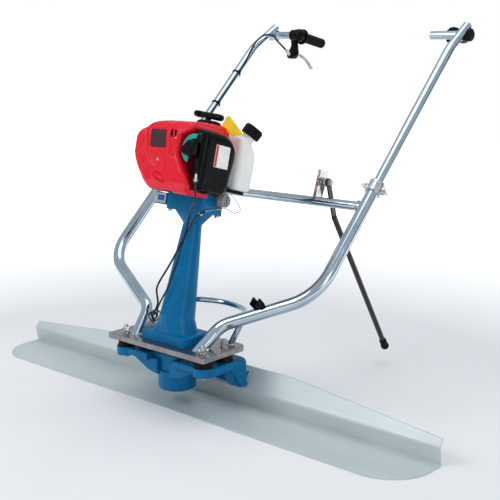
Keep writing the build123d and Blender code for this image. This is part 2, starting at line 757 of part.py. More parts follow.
def make_handle_tube():
    start = moved(COLLAR_CENTRE, RAIL_DIRECTION, -TUBE_INSERTION)
    path = FilletPolyline(start, TUBE_BEND, TUBE_TIP, radius=[100])
    tube = swept(path, TUBE_RADIUS, TUBE_BORE)
    tube += rod(moved(TUBE_TIP, TIP_DIRECTION, -3), TIP_DIRECTION, TUBE_RADIUS, 3)
    tube += bar_eye(EYE_LIMITS, 14.5)
    return tube - bar_eye((200, 400), BAR_RADIUS + 0.06)


def grip_direction(drop, toe_in):
    """Direction of a right-hand grip: back, down by the drop and inwards by the toe-in."""
    level = cos(radians(drop))
    toe = radians(toe_in)
    return (-sin(toe) * level, cos(toe) * level, -sin(radians(drop)))


def handle_bar(stub_x, direction):
    """Right-hand cross bar with the stub that carries the grip."""
    inner_end = min(BAR_INNER_END, stub_x)
    bar = bar_eye((inner_end, BAR_OUTER_END), BAR_RADIUS)
    stub_length = GRIP_START + GRIP_LENGTH - 3
    centre = (stub_x, BAR_Y, BAR_Z)
    bar += rod(centre, direction, BAR_RADIUS, stub_length)
    bar += Pos(*centre) * Sphere(BAR_RADIUS)
    bar -= rod(moved(centre, direction, 12), direction, BAR_RADIUS - 1.5, stub_length)
    return bar - rod((BAR_OUTER_END - 34, BAR_Y, BAR_Z), (1, 0, 0), BAR_RADIUS - 1.5, 36)


def grip(stub_x, direction):
    """Right-hand rubber grip with a thumb flange."""
    centre = (stub_x, BAR_Y, BAR_Z)
    start = moved(centre, direction, GRIP_START)
    rubber = rod(start, direction, GRIP_RADIUS, GRIP_LENGTH)
    rubber = fillet(rubber.edges().sort_by(Axis.Y)[-1], 4)
    rubber += rod(start, direction, 21.5, 5)
    return rubber - rod(start, direction, BAR_RADIUS, GRIP_LENGTH - 3)


RIGHT_GRIP = grip_direction(RIGHT_GRIP_DROP, RIGHT_GRIP_TOE_IN)
LEFT_GRIP = grip_direction(LEFT_GRIP_DROP, LEFT_GRIP_TOE_IN)
LEFT_RAIL_DIRECTION = (-RAIL_DIRECTION[0], RAIL_DIRECTION[1], RAIL_DIRECTION[2])


def extended(shape):
    """Move a left-hand handle piece along its rail, by how far the left handle is drawn out."""
    return Pos(*moved((0, 0, 0), LEFT_RAIL_DIRECTION, LEFT_EXTENSION)) * shape


def make_lever_bracket():
    ring_x = (-248, -233)
    body_x = (-240, -217)
    neck = Polyline((678, 812), (694, 812), (696, 786), (696, 768), (672, 768), (674, 786), close=True)
    ring = bar_eye(ring_x, 15) + Pos(ring_x[0], 0, 0) * extrude(Plane.YZ * make_face(neck), ring_x[1] - ring_x[0])
    body = Polyline((696, 788), (702, 778), (702, 756), (666, 756), (657, 766), (672, 788), close=True)
    ring += Pos(body_x[0], 0, 0) * extrude(Plane.YZ * make_face(body), body_x[1] - body_x[0])
    ring += rod((LEVER_X, 664, 767), (0, -0.83, 0.56), 4, 20)
    ring -= bar_eye((-260, -200), BAR_RADIUS)
    slot = Polyline((672, 750), (672, 782), (710, 782), (710, 750), close=True)
    slot_half = LEVER_WIDTH / 2 + 0.2
    ring -= Pos(LEVER_X - slot_half, 0, 0) * extrude(Plane.YZ * make_face(slot), 2 * slot_half)
    return extended(ring + along_x((body_x[0] + 1, body_x[1] - 1), *LEVER_PIVOT, 3))


def make_throttle_lever():
    y, z = LEVER_PIVOT
    tip_y, tip_z = LEVER_TIP
    half_width = LEVER_WIDTH / 2
    x_limits = (LEVER_X - half_width, LEVER_X + half_width)
    curve = ThreePointArc((y, z), (718, 757), (tip_y, tip_z))
    blade = extrude(Plane.YZ * trace(curve, LEVER_WIDTH), half_width, both=True)
    lever = Pos(LEVER_X, 0, 0) * blade + along_x(x_limits, tip_y, tip_z, 4.5)
    lever += along_x(x_limits, y, z, 6.5)
    return extended(lever - along_x((x_limits[0] - 1, x_limits[1] + 1), y, z, 3.06))


# ---------------------------------------------------------------- cables
CABLE_SIDE = (
    -cos(radians(CABLE_TURN)),
    -RAIL_DIRECTION[2] * sin(radians(CABLE_TURN)),
    RAIL_DIRECTION[1] * sin(radians(CABLE_TURN)),
)


def beside_tube(distance):
    """Cable centre on the inboard side of the right handle tube, at a distance from the collar."""
    on_axis = moved(COLLAR_CENTRE, RAIL_DIRECTION, distance)
    return moved(on_axis, CABLE_SIDE, TUBE_RADIUS + CABLE_RADIUS + 0.8)


def make_throttle_cable():
    loop = [(272, 653, 806), (281, 651, 817), (287, 634, 822), (290, 612, 818), (291, 588, 804), (291, 568, 784)]
    tied = [beside_tube(distance) for distance in (362, 342, 322, 280, 200, 130, 75)]
    return extended(mirrored(swept(Spline(*loop, *tied), CABLE_RADIUS)))


def make_cable_ties():
    ties = []
    for distance in (330, 215):
        centre = moved(COLLAR_CENTRE, RAIL_DIRECTION, distance)
        ring = rod(centre, RAIL_DIRECTION, TUBE_RADIUS + 1.4, 5)
        ring += rod(beside_tube(distance), RAIL_DIRECTION, CABLE_RADIUS + 2, 5)
        ring -= rod(moved(centre, RAIL_DIRECTION, -5), RAIL_DIRECTION, TUBE_RADIUS, 20)
        ring -= rod(moved(beside_tube(distance), RAIL_DIRECTION, -5), RAIL_DIRECTION, CABLE_RADIUS + 0.5, 20)
        ties.append(extended(mirrored(ring)))
    return group(ties)


def make_column_cables():
    outer = Spline((26, -42, 286), (26, -42, 262), (24, -40, 226), (12, -40, 174), (-14, -42, 133), (-40, -42, 88),
                   (-51, -38, 58), (-46, -30, 40))
    inner = Spline((38, -41, 270), (34, -42, 244), (26, -40, 210), (8, -44, 155), (-12, -46, 110), (-26, -47, 80),
                   (-38, -44, 52))
    return group(leaning(swept(path, 2)) for path in (outer, inner))


# ---------------------------------------------------------------- stand
def stand_angle(start, end):
    return atan2(end[1] - start[1], end[0] - start[0])


def make_stand_bracket():
    top_z = STAND_PIVOT[1] + 30
    front_foot = (240, 448)
    front_top = (264, top_z)
    back_top = (293, top_z - 7)
    outline = Polyline(front_foot, (266, 448), back_top, front_top, close=True)
    web = Pos(184, 0, 0) * extrude(Plane.YZ * make_face(outline), 4)
    lip = Polyline(front_foot, (244, 448), (268, top_z - 1), front_top, close=True)
    web += Pos(180, 0, 0) * extrude(Plane.YZ * make_face(lip), 6)
    web -= along_x((100, 300), CROSS_TUBE_CENTRE[1], CROSS_TUBE_CENTRE[2], CROSS_TUBE_RADIUS)
    web = max(web.solids(), key=lambda solid: solid.volume)
    return web - along_x((170, 200), *STAND_PIVOT, STAND_BOLT_RADIUS + 0.1)


def make_stand_bolt():
    y, z = STAND_PIVOT
    bolt = along_x((178, 211), y, z, STAND_BOLT_RADIUS)
    bolt += hexagon((178, y, z), (1, 0, 0), 16, 6)
    bolt += along_x((188, 195.8), y, z, 7)
    return bolt + hexagon((200.6, y, z), (1, 0, 0), 17, 8)


def make_stand_leg():
    strap_angle = stand_angle(STAND_PIVOT, STAND_BEND)
    strap_length = hypot(STAND_BEND[0] - STAND_PIVOT[0], STAND_BEND[1] - STAND_PIVOT[1])
    strap = along_x((196, 200), *STAND_PIVOT, 10) + along_x((196, 200), *STAND_BEND, 7)
    direction = (0, cos(strap_angle), sin(strap_angle))
    plane = Plane(origin=(STAND_X, *STAND_PIVOT), x_dir=(1, 0, 0), z_dir=direction)
    strap += plane.location * Box(4, 14, strap_length, align=ON_BASE)
    leg_direction = unit((STAND_X, *STAND_BEND), (STAND_X, *STAND_FOOT))
    length = hypot(STAND_FOOT[0] - STAND_BEND[0], STAND_FOOT[1] - STAND_BEND[1])
    strap += rod((STAND_X, *STAND_BEND), leg_direction, LEG_RADIUS, length)
    strap += Pos(STAND_X, *STAND_BEND) * Sphere(LEG_RADIUS)
    return strap - along_x((190, 210), *STAND_PIVOT, STAND_BOLT_RADIUS + 0.06)


def make_stand_foot():
    leg_direction = unit((STAND_X, *STAND_BEND), (STAND_X, *STAND_FOOT))
    back = moved((STAND_X, *STAND_FOOT), leg_direction, -22)
    foot = Pos(STAND_X, *STAND_FOOT) * Sphere(10.5) + rod(back, leg_direction, 9, 20)
    return foot - rod(moved(back, leg_direction, -5), leg_direction, LEG_RADIUS, 27)


def make_stand_spring():
    y, z = STAND_PIVOT
    coil = Helix(pitch=2.3, height=4.6, radius=9.2)
    wire = swept(coil, 0.9)
    return Pos(189.6, y, z) * Rot(0, 90, 0) * wire


def make_leg_clip():
    stowed = radians(STAND_STOWED) + stand_angle(STAND_BEND, STAND_FOOT)
    leg_direction = (0, cos(stowed), sin(stowed))
    opening = (0, sin(stowed), -cos(stowed))
    turn = radians(STAND_STOWED)
    bend_angle = stand_angle(STAND_PIVOT, STAND_BEND) + turn
    reach = hypot(STAND_BEND[0] - STAND_PIVOT[0], STAND_BEND[1] - STAND_PIVOT[1])
    bend = (STAND_X, STAND_PIVOT[0] + reach * cos(bend_angle), STAND_PIVOT[1] + reach * sin(bend_angle))
    held = moved(bend, leg_direction, (bend[1] - CLIP_Y) / -leg_direction[1])
    frame = Plane(origin=held, x_dir=(1, 0, 0), z_dir=leg_direction)
    if frame.y_dir.Z * opening[2] < 0:
        frame = Plane(origin=held, x_dir=(-1, 0, 0), z_dir=leg_direction)
    inner = LEG_RADIUS + 0.3
    outer = inner + 3
    jaws = block((-outer, outer), (-outer, outer), (-9, 9)) - block((-inner, inner), (-inner, outer + 1), (-10, 10))
    foot = block((-7, 7), (-24, -outer + 1), (-9, 9))
    clip = frame.location * (jaws + foot) - swept(rail_path(), RAIL_RADIUS)
    return max(clip.solids(), key=lambda solid: solid.volume)


# ---------------------------------------------------------------- write every node
def main():
    os.makedirs("parts", exist_ok=True)
    right_rail = make_right_rail()
    handle_tube = make_handle_tube()
    nodes = {
        "blade": make_blade(),
        "blade_bolts": make_blade_bolts(),
        "exciter_housing": make_exciter_housing(),
        "exciter_cover": make_exciter_cover(),
        "eccentric_shaft": make_eccentric_shaft(),
        "eccentric_weight": make_eccentric_weight(),
        "bearings": make_bearings(),
        "rubber_mounts": make_rubber_mounts(),
        "mount_bolts": make_mount_bolts(),
        "base_plate": make_base_plate(),
        "column": make_column(),
        "column_bolts": make_column_bolts(),
        "clutch_housing": make_clutch_housing(),
        "head_side_plate": make_head_side_plate(),
        "drive_shaft": make_drive_shaft(),
        "clutch_drum": make_clutch_drum(),
        "clutch_shoes": make_clutch_shoes(),
        "crankcase": make_crankcase(),
        "crankshaft": make_crankshaft(),
        "flywheel": make_flywheel(),
        "cylinder": make_cylinder(),
        "muffler": make_muffler(),
        "engine_cover": make_engine_cover(),
        "starter_cover": make_starter_cover(),
        "starter_pulley": make_starter_pulley(),
        "starter_handle": make_starter_handle(),
        "starter_rope": make_starter_rope(),
        "air_cleaner_cover": make_air_cleaner_cover(),
        "air_filter": make_air_filter(),
        "carburettor": make_carburettor(),
        "throttle_arm": make_throttle_arm(),
        "choke_lever": make_choke_lever(),
        "primer_bulb": make_primer_bulb(),
        "fuel_tank": make_fuel_tank(),
        "fuel_cap": make_fuel_cap(),
        "tank_bracket": make_tank_bracket(),
        "oil_cap": make_oil_cap(),
        "right_rail": right_rail,
        "left_rail": mirrored(right_rail),
        "cross_tube": make_cross_tube(),
        "rear_braces": make_rear_braces(),
        "rail_collars": make_rail_collars(),
        "collar_bolts": make_collar_bolts(),
        "right_handle_tube": handle_tube,
        "left_handle_tube": extended(mirrored(handle_tube)),
        "right_handle_bar": handle_bar(RIGHT_STUB, RIGHT_GRIP),
        "left_handle_bar": extended(mirrored(handle_bar(LEFT_STUB, LEFT_GRIP))),
        "right_grip": grip(RIGHT_STUB, RIGHT_GRIP),
        "left_grip": extended(mirrored(grip(LEFT_STUB, LEFT_GRIP))),
        "lever_bracket": make_lever_bracket(),
        "throttle_lever": make_throttle_lever(),
        "throttle_cable": make_throttle_cable(),
        "cable_ties": make_cable_ties(),
        "column_cables": make_column_cables(),
        "stand_bracket": make_stand_bracket(),
        "stand_bolt": make_stand_bolt(),
        "stand_leg": make_stand_leg(),
        "stand_foot": make_stand_foot(),
        "stand_spring": make_stand_spring(),
        "leg_clip": make_leg_clip(),
    }
    for name, shape in nodes.items():
        save(name, shape)


main()
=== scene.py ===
import json
from math import cos, pi, radians, sin, sqrt

import bmesh
import bpy
import numpy as np
from mathutils import Matrix, Vector


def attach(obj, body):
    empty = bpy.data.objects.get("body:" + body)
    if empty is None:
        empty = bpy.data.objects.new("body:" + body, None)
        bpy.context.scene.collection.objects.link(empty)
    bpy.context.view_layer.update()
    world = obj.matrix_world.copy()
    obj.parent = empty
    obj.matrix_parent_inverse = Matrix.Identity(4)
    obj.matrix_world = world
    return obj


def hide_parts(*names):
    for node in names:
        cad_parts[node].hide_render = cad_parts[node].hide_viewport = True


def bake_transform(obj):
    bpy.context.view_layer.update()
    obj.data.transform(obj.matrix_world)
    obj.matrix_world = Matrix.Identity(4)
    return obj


# Looks of the vibrating finishing screed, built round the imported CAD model.
# Pieces are written in millimetres, either in the world frame or in the leaning frame of the drive column,
# whose z runs up the column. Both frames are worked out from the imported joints.

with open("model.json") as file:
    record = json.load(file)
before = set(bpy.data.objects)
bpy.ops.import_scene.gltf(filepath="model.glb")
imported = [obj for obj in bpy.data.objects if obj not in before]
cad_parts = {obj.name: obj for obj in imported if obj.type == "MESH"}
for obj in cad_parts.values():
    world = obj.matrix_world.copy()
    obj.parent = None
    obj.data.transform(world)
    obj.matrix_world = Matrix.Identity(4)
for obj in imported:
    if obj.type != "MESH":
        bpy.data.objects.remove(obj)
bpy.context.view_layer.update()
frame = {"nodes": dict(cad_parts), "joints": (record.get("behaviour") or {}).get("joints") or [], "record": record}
JOINTS = {joint["name"]: joint for joint in frame["joints"]}


# ---------------- frames
def joint_axis(name):
    """Point (mm) and direction of a joint's axis."""
    joint = JOINTS[name]
    return Vector(joint["pos_m"]) * 1000, Vector(joint["axis"]).normalized()


def column_frame():
    """Leaning frame: z up the drive column, x along the blade, origin on the exciter's axis."""
    point, up = joint_axis("drive_spin")
    exciter, _ = joint_axis("exciter_spin")
    origin = point + up * ((exciter.y - point.y) / up.y)
    side = Vector((1, 0, 0))
    turn = Matrix((side, up.cross(side), up)).transposed().to_4x4()
    return Matrix.Scale(0.001, 4) @ Matrix.Translation(origin) @ turn


WORLD = Matrix.Scale(0.001, 4)
COLUMN = column_frame()


def limits(node, place=COLUMN):
    """Lowest and highest corner of a CAD node, in mm of a frame."""
    inverse = place.inverted()
    points = np.array([inverse @ vertex.co for vertex in frame["nodes"][node].data.vertices])
    return Vector(points.min(0)), Vector(points.max(0))


def turned_axis(node):
    """Middle point, direction and half length (mm) of a long round CAD node."""
    points = np.array([vertex.co for vertex in frame["nodes"][node].data.vertices]) * 1000
    middle = points.mean(0)
    _, _, rows = np.linalg.svd(points - middle, full_matrices=False)
    direction = rows[0]
    along = (points - middle) @ direction
    centre = middle + direction * (along.max() + along.min()) / 2
    return Vector(centre), Vector(direction), (along.max() - along.min()) / 2


# ---------------- materials
def add_node(tree, kind, **values):
    """New shader node with some inputs set. An underscore in an input's name stands for a space."""
    node = tree.nodes.new("ShaderNode" + kind)
    for name, value in values.items():
        node.inputs[name.replace("_", " ")].default_value = value
    return node


class Finish:
    """One procedural material: a principled surface with noise-driven colour, roughness and bump."""

    def __init__(self, name, roughness, metallic=0.0, coat=0.0, shine=0.28):
        self.material = bpy.data.materials.new(name)
        self.material.use_nodes = True
        self.tree = self.material.node_tree
        self.surface = self.tree.nodes["Principled BSDF"]
        for name, value in (("Roughness", roughness), ("Metallic", metallic), ("Coat Weight", coat),
                            ("Coat Roughness", 0.08), ("Specular IOR Level", shine)):
            self.surface.inputs[name].default_value = value
        self.places = self.tree.nodes.new("ShaderNodeTexCoord").outputs["Object"]

    def link(self, source, target):
        self.tree.links.new(source, target)

    def texture(self, kind, size_mm, stretch=(1, 1, 1), **values):
        """Texture node with a grain of about size_mm, stretched along the object's axes."""
        mapping = add_node(self.tree, "Mapping", Scale=[1000 / size_mm / factor for factor in stretch])
        self.link(self.places, mapping.inputs["Vector"])
        texture = add_node(self.tree, kind, Scale=1.0, **values)
        self.link(mapping.outputs["Vector"], texture.inputs["Vector"])
        return texture

    def noise(self, size_mm, detail=3.0, stretch=(1, 1, 1)):
        return self.texture("TexNoise", size_mm, stretch, Detail=detail).outputs["Fac"]

    def cells(self, size_mm):
        """Distance to the nearest random point, for pores and weave."""
        return self.texture("TexVoronoi", size_mm).outputs["Distance"]

    def spread(self, value, low, high, start=0.35, end=0.65):
        """Noise between start and end becomes a value between low and high."""
        remap = add_node(self.tree, "MapRange", From_Min=start, From_Max=end, To_Min=low, To_Max=high)
        self.link(value, remap.inputs["Value"])
        return remap.outputs["Result"]

    def colour(self, value, first, second):
        """Surface colour between two colours, as a value goes from 0 to 1."""
        mix = add_node(self.tree, "MixRGB", Color1=(*first, 1), Color2=(*second, 1))
        self.link(value, mix.inputs["Fac"])
        self.link(mix.outputs["Color"], self.surface.inputs["Base Color"])

    def roughness(self, value):
        self.link(value, self.surface.inputs["Roughness"])

    def bump(self, height, depth_mm, edge_mm=0.0):
        """Bumps depth_mm deep, on edges softened to a small radius."""
        bump = add_node(self.tree, "Bump", Strength=1.0, Distance=depth_mm / 1000)
        self.link(height, bump.inputs["Height"])
        if edge_mm:
            bevel = add_node(self.tree, "Bevel", Radius=edge_mm / 1000)
            bevel.samples = 4
            self.link(bevel.outputs["Normal"], bump.inputs["Normal"])
        self.link(bump.outputs["Normal"], self.surface.inputs["Normal"])


def paint(name, colour, edge_mm=0.9):
    """Glossy paint over a casting: orange peel, slight mottling and dusty patches."""
    finish = Finish(name, 0.25, coat=0.12, shine=0.1)
    darker = [0.8 * part for part in colour]
    finish.colour(finish.spread(finish.noise(45, 4), 0, 1), colour, darker)
    finish.roughness(finish.spread(finish.noise(22, 5), 0.20, 0.42))
    finish.bump(finish.noise(3.2, 2), 0.10, edge_mm)
    return finish.material


def bare_sheet(name):
    """Mill-finish sheet metal with long rolling marks and smudges."""
    finish = Finish(name, 0.45, metallic=0.3)
    smudges = finish.spread(finish.noise(90, 5, (4, 1, 1)), 0, 1)
    finish.colour(smudges, (0.64, 0.70, 0.70), (0.56, 0.62, 0.63))
    finish.roughness(finish.spread(finish.noise(2.0, 3, (60, 1, 1)), 0.42, 0.58))
    finish.bump(finish.noise(1.2, 2, (90, 1, 1)), 0.02, 0.6)
    return finish.material


def chrome(name):
    """Bright plated tube with faint smears."""
    finish = Finish(name, 0.1, metallic=1.0)
    finish.colour(finish.spread(finish.noise(60, 4), 0, 1), (0.54, 0.63, 0.70), (0.45, 0.54, 0.61))
    finish.roughness(finish.spread(finish.noise(14, 5), 0.07, 0.19))
    finish.bump(finish.noise(9, 2), 0.04, 0.5)
    return finish.material


def metal(name, colour, roughness, grain_mm, depth_mm, edge_mm=0.4):
    """Bare or plated metal with a fine grain."""
    finish = Finish(name, roughness, metallic=0.95)
    darker = [0.7 * part for part in colour]
    finish.colour(finish.spread(finish.noise(16, 5), 0, 1), colour, darker)
    finish.roughness(finish.spread(finish.noise(7, 4), roughness * 0.7, roughness * 1.4))
    finish.bump(finish.noise(grain_mm, 3), depth_mm, edge_mm)
    return finish.material


def moulded(name, colour, roughness, grain_mm=0.8, depth_mm=0.05, coat=0.0, edge_mm=0.5, shine=0.28):
    """Moulded plastic or rubber with a fine grain and faint scuffs."""
    finish = Finish(name, roughness, coat=coat, shine=shine)
    lighter = [part * 1.12 + 0.001 for part in colour]
    finish.colour(finish.spread(finish.noise(24, 5), 0, 1), colour, lighter)
    finish.roughness(finish.spread(finish.noise(11, 4), roughness * 0.8, roughness * 1.3))
    finish.bump(finish.noise(grain_mm, 2), depth_mm, edge_mm)
    return finish.material


def milky(name):
    """Translucent white tank plastic with the mottling of blow moulding."""
    finish = Finish(name, 0.35)
    finish.colour(finish.spread(finish.noise(30, 3), 0, 1), (0.93, 0.93, 0.90), (0.88, 0.88, 0.84))
    finish.roughness(finish.spread(finish.noise(6, 3), 0.28, 0.45))
    finish.surface.inputs["Subsurface Weight"].default_value = 0.35
    finish.surface.inputs["Subsurface Radius"].default_value = (0.012, 0.011, 0.009)
    finish.bump(finish.noise(5, 2), 0.12)
    return finish.material


def foam(name):
    """Open-cell filter foam."""
    finish = Finish(name, 0.9)
    pores = finish.cells(1.6)
    finish.colour(finish.spread(pores, 0, 1, 0.1, 0.6), (0.03, 0.03, 0.03), (0.20, 0.20, 0.20))
    finish.bump(pores, 0.8)
    return finish.material


def braid(name):
    """Braided starter cord."""
    finish = Finish(name, 0.75)
    strands = finish.cells(0.9)
    finish.colour(finish.spread(strands, 0, 1, 0.1, 0.6), (0.75, 0.74, 0.68), (0.38, 0.37, 0.33))
    finish.bump(strands, 0.25)
    return finish.material


def floor_finish(name):
    """Pale studio floor that fades into the white background away from the object."""
    finish = Finish(name, 0.6)
    finish.colour(finish.spread(finish.noise(400, 3), 0, 1), (0.90, 0.90, 0.90), (0.87, 0.87, 0.87))
    finish.bump(finish.noise(6, 3), 0.08)
    distance = add_node(finish.tree, "VectorMath")
    distance.operation = "LENGTH"
    finish.link(finish.places, distance.inputs[0])
    glow = finish.spread(distance.outputs["Value"], 0.0, 1.0, 0.9, 3.0)
    finish.surface.inputs["Emission Color"].default_value = (1, 1, 1, 1)
    finish.link(glow, finish.surface.inputs["Emission Strength"])
    return finish.material


BLUE = (0.0, 0.155, 0.36)
FINISHES = {
    "blade": bare_sheet("blade_sheet"),
    "blue_casting": paint("blue_paint", BLUE),
    "blue_steel": metal("plate_steel", (0.36, 0.35, 0.35), 0.16, 9.0, 0.02, 1.0),
    "grey_casting": metal("cast_aluminium", (0.36, 0.37, 0.38), 0.5, 1.4, 0.15),
    "machined_steel": metal("turned_steel", (0.55, 0.55, 0.56), 0.25, 0.8, 0.03),
    "zinc": metal("bright_zinc", (0.72, 0.73, 0.72), 0.2, 1.0, 0.03),
    "muffler_steel": metal("muffler_skin", (0.10, 0.095, 0.09), 0.6, 1.0, 0.12),
    "chrome_tube": chrome("chrome_plate"),
    "black_steel": moulded("black_enamel", (0.012, 0.012, 0.013), 0.3, 2.4, 0.05, coat=0.4),
    "black_rubber": moulded("black_rubber", (0.003, 0.003, 0.0032), 0.45, 0.9, 0.05, shine=0.14),
    "black_plastic": moulded("black_moulding", (0.0015, 0.0015, 0.0018), 0.26, 0.7, 0.015, shine=0.12),
    "grey_plastic": moulded("grey_moulding", (0.24, 0.245, 0.25), 0.42),
    "red_plastic": moulded("red_moulding", (0.70, 0.003, 0.018), 0.34, 12.0, 0.02, coat=0.12),
    "green_plastic": moulded("green_moulding", (0.01, 0.34, 0.27), 0.38),
    "tank_plastic": milky("milky_plastic"),
    "filter_foam": foam("filter_foam"),
    "rope": braid("braided_cord"),
    "black_cable": moulded("cable_sheath", (0.010, 0.010, 0.011), 0.36, 1.5, 0.04),
}
YELLOW = moulded("yellow_card", (0.86, 0.60, 0.01), 0.45)
LABEL_WHITE = moulded("label_film", (0.80, 0.80, 0.78), 0.35)
LABEL_RED = moulded("label_band", (0.60, 0.03, 0.03), 0.35)
DARK_PANEL = moulded("dark_panel", (0.035, 0.012, 0.020), 0.35, coat=0.2)
LABEL_BLUE = moulded("blue_label", (0.01, 0.10, 0.38), 0.3)


def dress_cad_nodes():
    """Every CAD node takes the finish its record slot names."""
    slots = {part["node"]: part["material_slot"] for part in frame["record"]["subparts"]}
    for name, node in frame["nodes"].items():
        node.data.materials.clear()
        node.data.materials.append(FINISHES[slots[name]])


# ---------------- mesh helpers
SHARP_DEGREES = 38
MERGE_DISTANCE = 1e-6


def linked(name, data):
    """New object for a mesh, lamp or camera, in the scene."""
    thing = bpy.data.objects.new(name, data)
    bpy.context.scene.collection.objects.link(thing)
    return thing


def sound_mesh(name, points, faces, place, smooth):
    """Mesh from points in mm of a frame, with doubled points merged and normals outward."""
    mesh = bpy.data.meshes.new(name)
    mesh.from_pydata([place @ Vector(point) for point in points], [], faces)
    shell = bmesh.new()
    shell.from_mesh(mesh)
    bmesh.ops.remove_doubles(shell, verts=shell.verts, dist=MERGE_DISTANCE)
    bmesh.ops.recalc_face_normals(shell, faces=shell.faces)
    for face in shell.faces:
        face.smooth = smooth
    shell.to_mesh(mesh)
    shell.free()
    return mesh


def add_piece(name, points, faces, body, slot, place=WORLD, finish=None, replaces=()):
    """New piece, given in mm of a frame, that rides on a body. With body None it is left without a body."""
    mesh = sound_mesh(name, points, faces, place, smooth=True)
    mesh.set_sharp_from_angle(angle=radians(SHARP_DEGREES))
    mesh.materials.append(finish or FINISHES[slot])
    piece = linked(name, mesh)
    if replaces:
        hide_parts(*replaces)
    if body:
        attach(piece, body)
    return piece


def skin(rings, closed=True, caps=True):
    """Points and faces of a skin over rings that all have the same number of points."""
    count = len(rings[0])
    points = [point for ring in rings for point in ring]
    faces = []
    for row in range(len(rings) - 1):
        for column in range(count if closed else count - 1):
            after = (column + 1) % count
            faces.append((row * count + column, row * count + after,
                          (row + 1) * count + after, (row + 1) * count + column))
    if caps:
        faces.append(tuple(range(count)))
        faces.append(tuple(range((len(rings) - 1) * count, len(rings) * count)))
    return points, faces


def joined(*shapes):
    """Several (points, faces) shapes as one."""
    points, faces = [], []
    for more_points, more_faces in shapes:
        start = len(points)
        points += more_points
        faces += [tuple(start + index for index in face) for face in more_faces]
    return points, faces


def circle(count):
    """Cosine and sine of evenly spaced angles round one turn."""
    angles = [2 * pi * index / count for index in range(count)]
    return [(cos(angle), sin(angle)) for angle in angles]


def square_to(direction):
    """Two unit vectors square to a direction and to each other."""
    direction = Vector(direction).normalized()
    helper = Vector((0, 0, 1)) if abs(direction.z) < 0.9 else Vector((1, 0, 0))
    first = direction.cross(helper).normalized()
    return first, direction.cross(first).normalized()


def turned(profile, start, direction, segments=48, ribs=0, rib_depth=0.0, rib_span=(0, 0)):
    """Turned shape: (distance along, radius) pairs about an axis. Ribs stand on a span of distances."""
    start, direction = Vector(start), Vector(direction).normalized()
    first, second = square_to(direction)
    rings = []
    for distance, radius in profile:
        centre = start + direction * distance
        ribbed = ribs and rib_span[0] <= distance <= rib_span[1]
        ring = []
        for index in range(segments):
            angle = 2 * pi * index / segments
            reach = radius + (rib_depth * (0.5 + 0.5 * cos(ribs * angle)) if ribbed else 0.0)
            ring.append(centre + first * reach * cos(angle) + second * reach * sin(angle))
        rings.append(ring)
    return skin(rings)


def smooth_path(corners, steps=8):
    """Catmull-Rom curve through the corner points."""
    corners = [Vector(corner) for corner in corners]
    ends = [corners[0] * 2 - corners[1]] + corners + [corners[-1] * 2 - corners[-2]]
    path = []
    for before, start, end, after in zip(ends, ends[1:], ends[2:], ends[3:]):
        for step in range(steps):
            t = step / steps
            bend = 2 * before - 5 * start + 4 * end - after
            twist = 3 * start - before - 3 * end + after
            path.append(0.5 * (2 * start + (end - before) * t + bend * t * t + twist * t ** 3))
    return path + [corners[-1]]


def tube(path, radius, segments=12, ripple=0.0, ripple_pitch=3.0):
    """Round bar along a path. A ripple makes it swell and shrink like a weld bead."""
    rings = []
    across = square_to(path[1] - path[0])[0]
    travelled = 0.0
    for index, point in enumerate(path):
        ahead = path[min(index + 1, len(path) - 1)] - path[max(index - 1, 0)]
        ahead.normalize()
        across = (across - ahead * across.dot(ahead)).normalized()
        beside = ahead.cross(across)
        if index:
            travelled += (point - path[index - 1]).length
        reach = radius * (1 + ripple * sin(2 * pi * travelled / ripple_pitch))
        rings.append([point + across * reach * cosine + beside * reach * sine
                      for cosine, sine in circle(segments)])
    return skin(rings)


def rounded_ring(low, high, radii, steps=6):
    """Points round a rectangle. Its corner radii start at the low corner and go round by the first axis."""
    corners = [(low[0], low[1], 180), (high[0], low[1], 270), (high[0], high[1], 0), (low[0], high[1], 90)]
    ring = []
    for (x, y, start), radius in zip(corners, radii):
        centre_x = x + radius if x == low[0] else x - radius
        centre_y = y + radius if y == low[1] else y - radius
        for step in range(steps + 1):
            angle = radians(start + 90 * step / steps)
            ring.append((centre_x + radius * cos(angle), centre_y + radius * sin(angle)))
    return ring


def finished(piece, *modifiers):
    """Give a piece its modifiers: each is (type, {setting: value})."""
    for kind, settings in modifiers:
        modifier = piece.modifiers.new(kind.lower(), kind)
        for key, value in settings.items():
            setattr(modifier, key, value)


def baked(piece):
    """Turn the modifiers into plain mesh."""
    bpy.context.view_layer.update()
    depsgraph = bpy.context.evaluated_depsgraph_get()
    mesh = bpy.data.meshes.new_from_object(piece.evaluated_get(depsgraph))
    piece.modifiers.clear()
    piece.data = mesh


def cut(piece, cutter_shape, place=WORLD):
    """Take a closed shape away from a piece."""
    cutter = linked("cutter", sound_mesh("cutter", *cutter_shape, place, smooth=False))
    finished(piece, ("BOOLEAN", {"operation": "DIFFERENCE", "object": cutter, "solver": "EXACT"}))
    baked(piece)
    bpy.data.objects.remove(cutter)


def eased(value, start, end):
    """0 before start, 1 after end, and smooth between."""
    t = min(1.0, max(0.0, (value - start) / (end - start)))
    return t * t * (3 - 2 * t)


def along_table(value, table):
    """Straight-line reading of a short (input, output) table."""
    inputs, outputs = zip(*table)
    return float(np.interp(value, inputs, outputs))


def bevelled(width_mm, segments):
    """Modifier that rounds the sharp edges."""
    return "BEVEL", {"width": width_mm / 1000, "segments": segments, "limit_method": "ANGLE"}


WALL = 2.5
THICKENED = ("SOLIDIFY", {"thickness": WALL / 1000, "offset": -1})
SUBDIVIDED = ("SUBSURF", {"levels": 1, "render_levels": 1})


